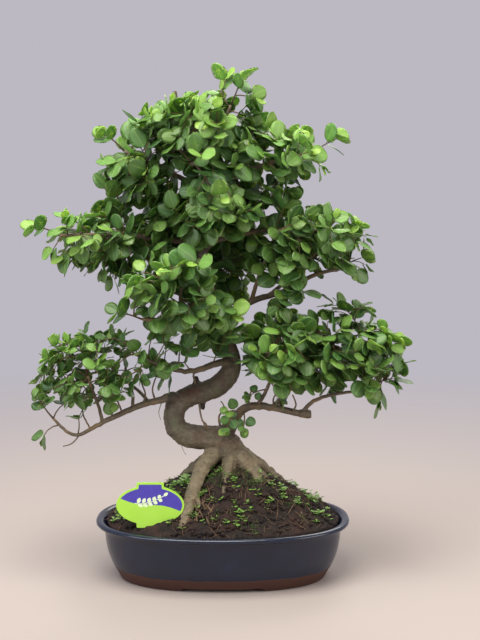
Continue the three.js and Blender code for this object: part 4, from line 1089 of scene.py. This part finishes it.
class Foliage:
    """The mesh of one spray as it grows: leaves and twigs, with the marks their materials read."""

    def __init__(self):
        self.points, self.faces, self.which = [], [], []
        self.across, self.out, self.tint, self.young = [], [], [], []
        self.count = 0
        self.grown = []

    def add(self, points, faces, slot, across, out, tint, young):
        self.faces += [tuple(self.count + i for i in face) for face in faces]
        self.which += [slot] * len(faces)
        self.points.append(points)
        self.count += len(points)
        for row, value in ((self.across, across), (self.out, out), (self.tint, tint), (self.young, young)):
            row.append(np.broadcast_to(value, len(points)).astype(float))

    def leaf(self, root, ahead, across, normal, length, half, fold, droop, tint, young, ripple):
        root, ahead, across, normal = (np.array(v) for v in (root, ahead, across, normal))
        v = round_v * np.ones_like(blade_u)
        raised = fold * half * blade_cup * (0.75 * np.abs(v) ** 1.5 + 0.1 * v**2)
        raised = raised - droop * length * blade_u**2
        edge_wave = np.sin(9 * blade_u + ripple[1] + 2 * np.sign(v))
        raised = raised + ripple[0] * blade_cup * np.abs(v) * edge_wave
        raised = raised - MIDRIB_DEPTH * blade_cup * (np.abs(v) < 0.1) * (under < 0.5)
        raised = raised - BLADE_THICK * under * np.minimum(1, blade_w * 3)
        side = ripple[2] * half * blade_u**2
        places = (
            root
            + (blade_u * length * np.ones_like(v))[..., None] * ahead
            + (v * blade_w * half + side)[..., None] * across
            + raised[..., None] * normal
        )
        flat = places.reshape(-1, 3)
        self.grown.append((self.count, root + 0.55 * length * ahead))
        self.add(flat, blade_faces, 0, v.ravel(), (blade_u * np.ones_like(v)).ravel(), tint, young)

    def twig(self, curve, foot, tip, steps, young):
        turn = 2 * math.pi * np.arange(6) / 6
        rows = []
        side = Vector((0.3, 0.9, 0.2))
        for i in range(steps + 1):
            t = i / steps
            place, ahead = along_bent(curve, t)
            side = (side - ahead * side.dot(ahead)).normalized()
            third = ahead.cross(side)
            r = foot + (tip - foot) * t
            ring = np.cos(turn)[:, None] * np.array(side) + np.sin(turn)[:, None] * np.array(third)
            rows.append(np.array(place) + r * ring)
        self.add(np.concatenate(rows), closed(rows), 1, 0.0, 0.5, 0.5, young)


# Leaves' middles keep about this far apart, and are looked up in cells of that size
LEAF_ROOM = 8.2
leaf_cells = {}


def crowded(middle, share):
    """Whether another leaf's middle is too near, and if not, takes the place."""
    cell = tuple(int(math.floor(c / LEAF_ROOM)) for c in middle)
    for dx in (-1, 0, 1):
        for dy in (-1, 0, 1):
            for dz in (-1, 0, 1):
                for other in leaf_cells.get((cell[0] + dx, cell[1] + dy, cell[2] + dz), ()):
                    if (other - middle).length < LEAF_ROOM * share:
                        return True
    leaf_cells.setdefault(cell, []).append(middle)
    return False


def inside_foliage(point, margin):
    """Whether a point lies in the foliage's room, made smaller all round by that margin."""
    for at, half in leafy_rooms:
        if sum(((point[k] - at[k]) / max(half[k] - margin, 5)) ** 2 for k in range(3)) < 1:
            return True
    return False


def turned_to_light(ahead, along, light, draw):
    """A blade's way across and way up, with its face turned towards the light."""
    normal = light - ahead * light.dot(ahead)
    if normal.length < 0.2:
        normal = along - ahead * along.dot(ahead)
    normal = (normal.normalized() + Vector((draw() - 0.5, draw() - 0.5, draw() - 0.5)) * 0.8)
    normal = (normal - ahead * normal.dot(ahead)).normalized()
    return ahead.cross(normal), normal


# Half a leaf's width as a share of its length, and how much more the widest have
LEAF_HALF_WIDTH, LEAF_WIDER = 0.39, 0.09


def grow_leaf(foliage, root, ahead, along, light, length, tint, young, draw):
    """One leaf turned to the light, unless there is another in its place."""
    across, normal = turned_to_light(ahead, along, light, draw)
    if crowded(root + ahead * (0.55 * length), min(1.0, length / 18)):
        return
    half = length * (LEAF_HALF_WIDTH + LEAF_WIDER * draw())
    fold, droop = 0.5 * draw() - 0.26, 0.04 + 0.3 * draw() ** 1.5
    ripple = (0.3 + 0.8 * draw(), 6 * draw(), 0.3 * (draw() - 0.5))
    foliage.leaf(root, ahead, across, normal, length, half, fold, droop, tint, young, ripple)


# A full leaf's length and how much longer the longest are, and the same of the two at a twig's tip
LEAF_LONG, LEAF_LONGER = 17, 9
TIP_LEAF_LONG, TIP_LEAF_LONGER = 11, 7


def leafy_twig(foliage, curve, first, spacing, light, size, foot, tip, draw):
    """A twig with pairs of leaves, each pair crosswise to the last. Gives the axils, where shoots start."""
    a, b, c = curve
    long = (b - a).length + (c - b).length
    long = 0.5 * (long + (c - a).length)
    foliage.twig(curve, foot, tip, max(3, int(long / 8)), 1 - min(1, foot / 1.2))
    pairs = max(1, int((long - first - 3) / spacing) + 1)
    forks = []
    spin = draw() * 3.14
    for k in range(pairs):
        t = min(0.97, (long - 3 - (pairs - 1 - k) * spacing) / long)
        place, ahead = along_bent(curve, t)
        side = ahead.cross(light)
        side = (side if side.length > 0.1 else ahead.orthogonal()).normalized()
        turn = Matrix.Rotation(spin + (k % 2) * math.pi / 2 + 0.4 * (draw() - 0.5), 3, ahead)
        age = (k + 1) / (pairs + 0.5)
        for flip in (1, -1):
            out = turn @ (side * flip)
            slant = 0.75 + 0.45 * draw() - 0.25 * age
            way = ahead * math.cos(slant) + out * math.sin(slant)
            way = (way + light * (0.1 + 0.3 * (draw() - 0.3)) - UP * (0.12 * draw())).normalized()
            length = size * (LEAF_LONG + LEAF_LONGER * draw()) * (1.08 - 0.3 * age**3)
            young = age**2 * (0.35 + 0.65 * draw())
            grow_leaf(foliage, place + out * tip * 0.6, way, ahead, light, length, draw(), young, draw)
            forks.append((place, ahead, out, t))
    place, ahead = along_bent(curve, 1.0)
    for flip in (0.45, -0.45):
        way = (ahead + ahead.cross(light).normalized() * flip + light * 0.25 * draw()).normalized()
        length = size * (TIP_LEAF_LONG + TIP_LEAF_LONGER * draw())
        grow_leaf(foliage, place, way, ahead, light, length, draw(), 0.6 + 0.4 * draw(), draw)
    return forks


# Young twig bark is thin and a little smoother than old bark: brown near its foot and green to
# red-brown towards its tip, with flecks of 2 mm
twig_bark, tree, shader = new_material("privet_twig_bark_young")
young = add(tree, "ShaderNodeAttribute", attribute_name="young").outputs["Fac"]
place = add(tree, "ShaderNodeTexCoord").outputs["Object"]
fleck = add(tree, "ShaderNodeTexNoise", {"Vector": place, "Scale": every(2), "Detail": 2}).outputs["Fac"]
old = add(
    tree, "ShaderNodeMix", {0: fleck, 6: colour("#3c2c23"), 7: colour("#6b5446")}, data_type="RGBA"
).outputs[2]
fresh = add(
    tree, "ShaderNodeMix", {0: fleck, 6: colour("#71783c"), 7: colour("#8f6a45")}, data_type="RGBA"
).outputs[2]
skin = add(tree, "ShaderNodeMix", {0: young, 6: old, 7: fresh}, data_type="RGBA").outputs[2]
tree.links.new(skin, shader.inputs["Base Color"])
shader.inputs["Roughness"].default_value = 0.6
shader.inputs["IOR"].default_value = 1.45

# A privet leaf's wax gives a soft broad shine, and light passes through the blade, which makes it a
# lively green. Young leaves are yellower, uneven patches are 6 mm wide, leaves with others over them
# are darker by painted shade, and the midrib and about eight side veins are paler and sunk.
SHADE, VEIN_WAVES = 0.66, 50.0
leaf_skin, tree, shader = new_material("privet_leaf_waxy")
across = add(tree, "ShaderNodeAttribute", attribute_name="across").outputs["Fac"]
out = add(tree, "ShaderNodeAttribute", attribute_name="out").outputs["Fac"]
tint = add(tree, "ShaderNodeAttribute", attribute_name="tint").outputs["Fac"]
young = add(tree, "ShaderNodeAttribute", attribute_name="young").outputs["Fac"]
place = add(tree, "ShaderNodeTexCoord").outputs["Object"]
cloud = add(tree, "ShaderNodeTexNoise", {"Vector": place, "Scale": every(6.25), "Detail": 3}).outputs["Fac"]
green = add(
    tree, "ShaderNodeMix", {0: tint, 6: colour("#3e7236"), 7: colour("#6a9b4c")}, data_type="RGBA"
).outputs[2]
green = add(tree, "ShaderNodeMix", {0: young, 6: green, 7: colour("#a3cb50")}, data_type="RGBA").outputs[2]
uneven = add(tree, "ShaderNodeMapRange", {"Value": cloud, "From Min": 0.35, "From Max": 0.75}).outputs[0]
uneven = add(tree, "ShaderNodeMath", {0: uneven, 1: 0.25}, operation="MULTIPLY").outputs[0]
green = add(tree, "ShaderNodeMix", {0: uneven, 6: green, 7: colour("#79ab48")}, data_type="RGBA").outputs[2]
# Painted shade: the more leaves hang over a leaf, the further its green goes towards a dark green
shade = add(tree, "ShaderNodeAttribute", attribute_name="shade").outputs["Fac"]
shade = add(tree, "ShaderNodeMath", {0: shade, 1: SHADE}, operation="MULTIPLY").outputs[0]
green = add(tree, "ShaderNodeMix", {0: shade, 6: green, 7: colour("#1f431d")}, data_type="RGBA").outputs[2]
off_middle = add(tree, "ShaderNodeMath", {0: across}, operation="ABSOLUTE").outputs[0]
midrib = add(
    tree, "ShaderNodeMapRange", {"Value": off_middle, "From Min": 0.09, "From Max": 0.02}
).outputs[0]
slanted = add(tree, "ShaderNodeMath", {0: off_middle, 1: -0.2, 2: out}, operation="MULTIPLY_ADD").outputs[0]
wave = add(tree, "ShaderNodeMath", {0: slanted, 1: VEIN_WAVES}, operation="MULTIPLY").outputs[0]
wave = add(tree, "ShaderNodeMath", {0: wave}, operation="SINE").outputs[0]
side_vein = add(tree, "ShaderNodeMapRange", {"Value": wave, "From Min": 0.86, "From Max": 1.0}).outputs[0]
side_vein = add(tree, "ShaderNodeMath", {0: side_vein, 1: 0.35}, operation="MULTIPLY").outputs[0]
vein = add(tree, "ShaderNodeMath", {0: midrib, 1: side_vein}, operation="MAXIMUM").outputs[0]
vein_tone = add(tree, "ShaderNodeMath", {0: vein, 1: 0.22}, operation="MULTIPLY").outputs[0]
green = add(
    tree, "ShaderNodeMix", {0: vein_tone, 6: green, 7: colour("#a3c66c")}, data_type="RGBA"
).outputs[2]
tree.links.new(green, shader.inputs["Base Color"])
shader.inputs["Roughness"].default_value = 0.48
shader.inputs["Coat Weight"].default_value = 0.25
shader.inputs["Coat Roughness"].default_value = 0.34
shader.inputs["IOR"].default_value = 1.45
shader.inputs["Subsurface Weight"].default_value = 0.35
shader.inputs["Subsurface Radius"].default_value = (0.8, 1.0, 0.3)
shader.inputs["Subsurface Scale"].default_value = 1.2 * MM
bump = add(tree, "ShaderNodeBump", {"Height": vein, "Strength": 0.35, "Distance": -0.3 * MM}).outputs[0]
tree.links.new(bump, shader.inputs["Normal"])

ends = spray_ends(seeded(7))
inside = places_in(leafy_rooms, ROOM_PLACES, seeded(4242), SHOOT_REACH, 0.4)
shoot_ends = spread(list(ends), inside, MOST_ENDS, SHOOT_SPACING)[SPRAYS:]
sprays = []
for index, target in enumerate(ends[:SPRAYS]):
    node = f"spray_{index + 1:02d}"
    main, away = main_twig(target, node, seeded(37 * index + 5))
    buds.append(main[0])
    sprays.append((node, main, away, Foliage()))

SHORTEST_SHOOT = 12


def leafed_out(foliage, curve, away, first, foot, draw):
    """A twig and the shoots in its axils, kept inside the foliage's room."""
    end = curve[2]
    # How large its leaves are, how far apart its pairs, and what share of its buds stays asleep. Both
    # the young shoots at the trunk's foot and the ones on the long low left branch are weaker.
    if end.z < 215 and abs(end.x) < 60:
        size, spacing, asleep = 0.58, 9.5, 0.7
    elif end.x < -92 and end.z < 290:
        size, spacing, asleep = 0.78, 11.5, 0.35
    else:
        size, spacing, asleep = 1.02, 11.5, 0.2
    light = (Vector((end.x, end.y, 0)).normalized() * 0.5 + away * 0.5 + UP * 0.6).normalized()
    forks = leafy_twig(foliage, curve, first, spacing, light, size, foot, 0.5, draw)
    for place, ahead, out_way, t in forks:
        if t > 0.93 or draw() < asleep:
            continue
        long = (40 - 20 * t) * (0.75 + 0.5 * draw())
        way = (ahead * 0.65 + out_way * (0.8 + 0.3 * draw()) + light * 0.35).normalized()
        while long > SHORTEST_SHOOT and not inside_foliage(place + way * (long + 10), 2):
            long -= 4
        if long < SHORTEST_SHOOT:
            continue
        tip_at = place + way * long + UP * (0.1 * long * (draw() - 0.4))
        shoot = bent(place, (way + ahead * 0.5).normalized(), tip_at, draw)
        leafy_twig(foliage, shoot, 8, 9.5, light, 0.97 * size, 0.6, 0.4, draw)


for index, (node, main, away, foliage) in enumerate(sprays):
    leafed_out(foliage, main, away, 12, 1.1, seeded(911 * index + 13))

# The shoots between them, each from one of the three nearest places on the wood and the twigs, in the
# mesh of the spray that carries it or ends nearest to it
SHORTEST_BETWEEN = 22
carriers = [(p, None) for p in wood_points]
for k, (_, main, _, _) in enumerate(sprays):
    carriers += [(along_bent(main, t)[0], k) for t in (0.3, 0.5, 0.7)]
for index, end in enumerate(shoot_ends):
    draw = seeded(577 * index + 91)
    start, owner = sorted(carriers, key=lambda c: (c[0] - end).length)[int(3 * draw())]
    if owner is None:
        owner = min(range(SPRAYS), key=lambda k: (sprays[k][1][2] - end).length)
    away = (end - start).normalized()
    if (end - start).length < SHORTEST_BETWEEN:
        end = start + away * SHORTEST_BETWEEN
    curve = bent(start, (away + UP * 0.25).normalized(), end, draw)
    leafed_out(sprays[owner][3], curve, away, 10, 0.9, draw)
    carriers += [(along_bent(curve, t)[0], owner) for t in (0.4, 0.7)]

# A leaf's painted shade is the share of so many leaves that hang over it, no further aside than
# this and between these two heights above it
SHADING_LEAVES, SHADE_ASIDE, SHADE_LOW, SHADE_HIGH = 11, 20, 4, 80
middles = np.array([at for _, _, _, foliage in sprays for _, at in foliage.grown])
shades = []
for at in middles:
    off = middles - at
    above = (off[:, 2] > SHADE_LOW) & (off[:, 2] < SHADE_HIGH)
    over = above & (np.hypot(off[:, 0], off[:, 1]) < SHADE_ASIDE)
    shades.append(min(1.0, over.sum() / SHADING_LEAVES))
shades = iter(shades)

for node, _, _, foliage in sprays:
    shade = np.zeros(foliage.count)
    for start, _ in foliage.grown:
        shade[start : start + BLADE_POINTS] = next(shades)
    spray = piece(
        f"{node}_fine", np.concatenate(foliage.points), foliage.faces, [leaf_skin, twig_bark],
        which=foliage.which,
        marks={
            "across": np.concatenate(foliage.across), "out": np.concatenate(foliage.out),
            "tint": np.concatenate(foliage.tint), "young": np.concatenate(foliage.young),
            "shade": shade,
        },
    )
    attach(spray, "root")
    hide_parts(node)


# The label: a die-cut plate of lime green polypropylene sheet with a screen-printed field and a plain
# sprig, on a stake of the same plastic that is pushed into the earth.

LABEL_AT, LABEL_LEAN = Vector((-80, -62, 97)), 0.07
LABEL_A, LABEL_B, LABEL_TAB, LABEL_TOP, LABEL_THICK = 38, 22, 15.5, 25.5, 0.9
label_turn = Matrix.Rotation(math.pi / 2 - LABEL_LEAN, 3, "X")


def on_label(points):
    """Points x, y on the plate and z out of its face, as points of the scene."""
    return np.array([label_turn @ Vector(p) + LABEL_AT for p in points])


def label_outline(inset, arc_steps=28):
    """The plate's outline, that far in from its edge."""
    a, b, tab, top = LABEL_A - inset, LABEL_B - inset, LABEL_TAB - inset, LABEL_TOP - inset
    turn = math.acos(tab / a)
    right = [(a * math.cos(t), b * math.sin(t)) for t in np.linspace(-turn, turn, arc_steps)]
    upper = [(tab - 0.4, top - 0.8), (tab - 1.2, top), (1.2 - tab, top), (0.4 - tab, top - 0.8)]
    left = [(-x, -y) for x, y in right]
    lower = [(-x, -y) for x, y in upper]
    return right + upper + left + lower


def slab(outline, low, high, edge=0.0):
    """A flat solid from an outline, with its upper edge softened."""
    middle = np.mean(outline, axis=0)
    levels = [[(*p, low) for p in outline], [(*p, high - edge) for p in outline], []]
    for p in outline:
        out = np.array(p) - middle
        levels[2].append((*(np.array(p) - edge * out / max(np.linalg.norm(out), 1)), high))
    return np.array(levels).reshape(-1, 3), closed(levels)


# Extruded sheet is smooth, with a soft even sheen and a slight haze in its colour
plate_plastic = mottled("lime_polypropylene_sheet", 16.7, 3, "#9bd13a", "#acdc52", 0.33, 1.49)
# Screen ink dries to a thin even film, a little glossier than the sheet when it is laid on thickly
ink = mottled("violet_screen_ink", 5.56, 3, "#3d3494", "#5147ae", 0.3, 1.5)
# The same ink with more white in it, laid on last and a little duller
pale_ink = mottled("pale_green_screen_ink", 5.56, 3, "#cfe6b4", "#e2efce", 0.35, 1.5)

# The layers with the number of their material: the plate, the violet field with its wavy lower edge,
# the pale sprig with its stalk, and the stake behind the plate
PRINT = 0.06
field = [(x, max(y, 0.5 - 0.22 * x + 2.2 * math.sin(x / 11))) for x, y in label_outline(2.4)]
layers = [
    (slab(label_outline(0), 0, LABEL_THICK, 0.25), 0),
    (slab(field, LABEL_THICK - 0.05, LABEL_THICK + PRINT), 1),
]


def sprig_leaf(x, y, angle, long, wide):
    """One printed leaf of the sprig."""
    c, s = math.cos(angle), math.sin(angle)
    flat = [(long * u, wide * math.sin(math.pi * u) ** 0.8) for u in np.linspace(0, 1, 9)]
    flat += [(u, -w) for u, w in reversed(flat[1:-1])]
    return [(x + c * u - s * w, y + s * u + c * w) for u, w in flat]


stem = [(x, 3.5 + 0.28 * x + 0.012 * x * x) for x in np.linspace(-17, 15, 12)]
stalk = [(x, y + 0.45) for x, y in stem] + [(x, y - 0.45) for x, y in reversed(stem)]
printed = [stalk]
for k in range(1, 11, 2):
    printed += [sprig_leaf(*stem[k], 0.3 + flip * 0.85, 7.4 - 0.25 * k, 2.1) for flip in (1, -1)]
printed.append(sprig_leaf(*stem[-1], 0.65, 6, 1.8))
layers += [(slab(shape[::-1], LABEL_THICK, LABEL_THICK + 2 * PRINT), 2) for shape in printed]
STAKE_HALF = 3.5
stake = [(STAKE_HALF, -17), (-STAKE_HALF, -17), (-STAKE_HALF, -42), (0, -50), (STAKE_HALF, -42)]
layers.append((slab(stake[::-1], -1.35, 0.2, 0.3), 0))
points, faces = together([solid for solid, _ in layers])
slots = [number for (_, solid_faces), number in layers for _ in solid_faces]
label = piece("plant_label_fine", on_label(points), faces, [plate_plastic, ink, pale_ink], False, slots)
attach(label, "root")
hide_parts("plant_label")
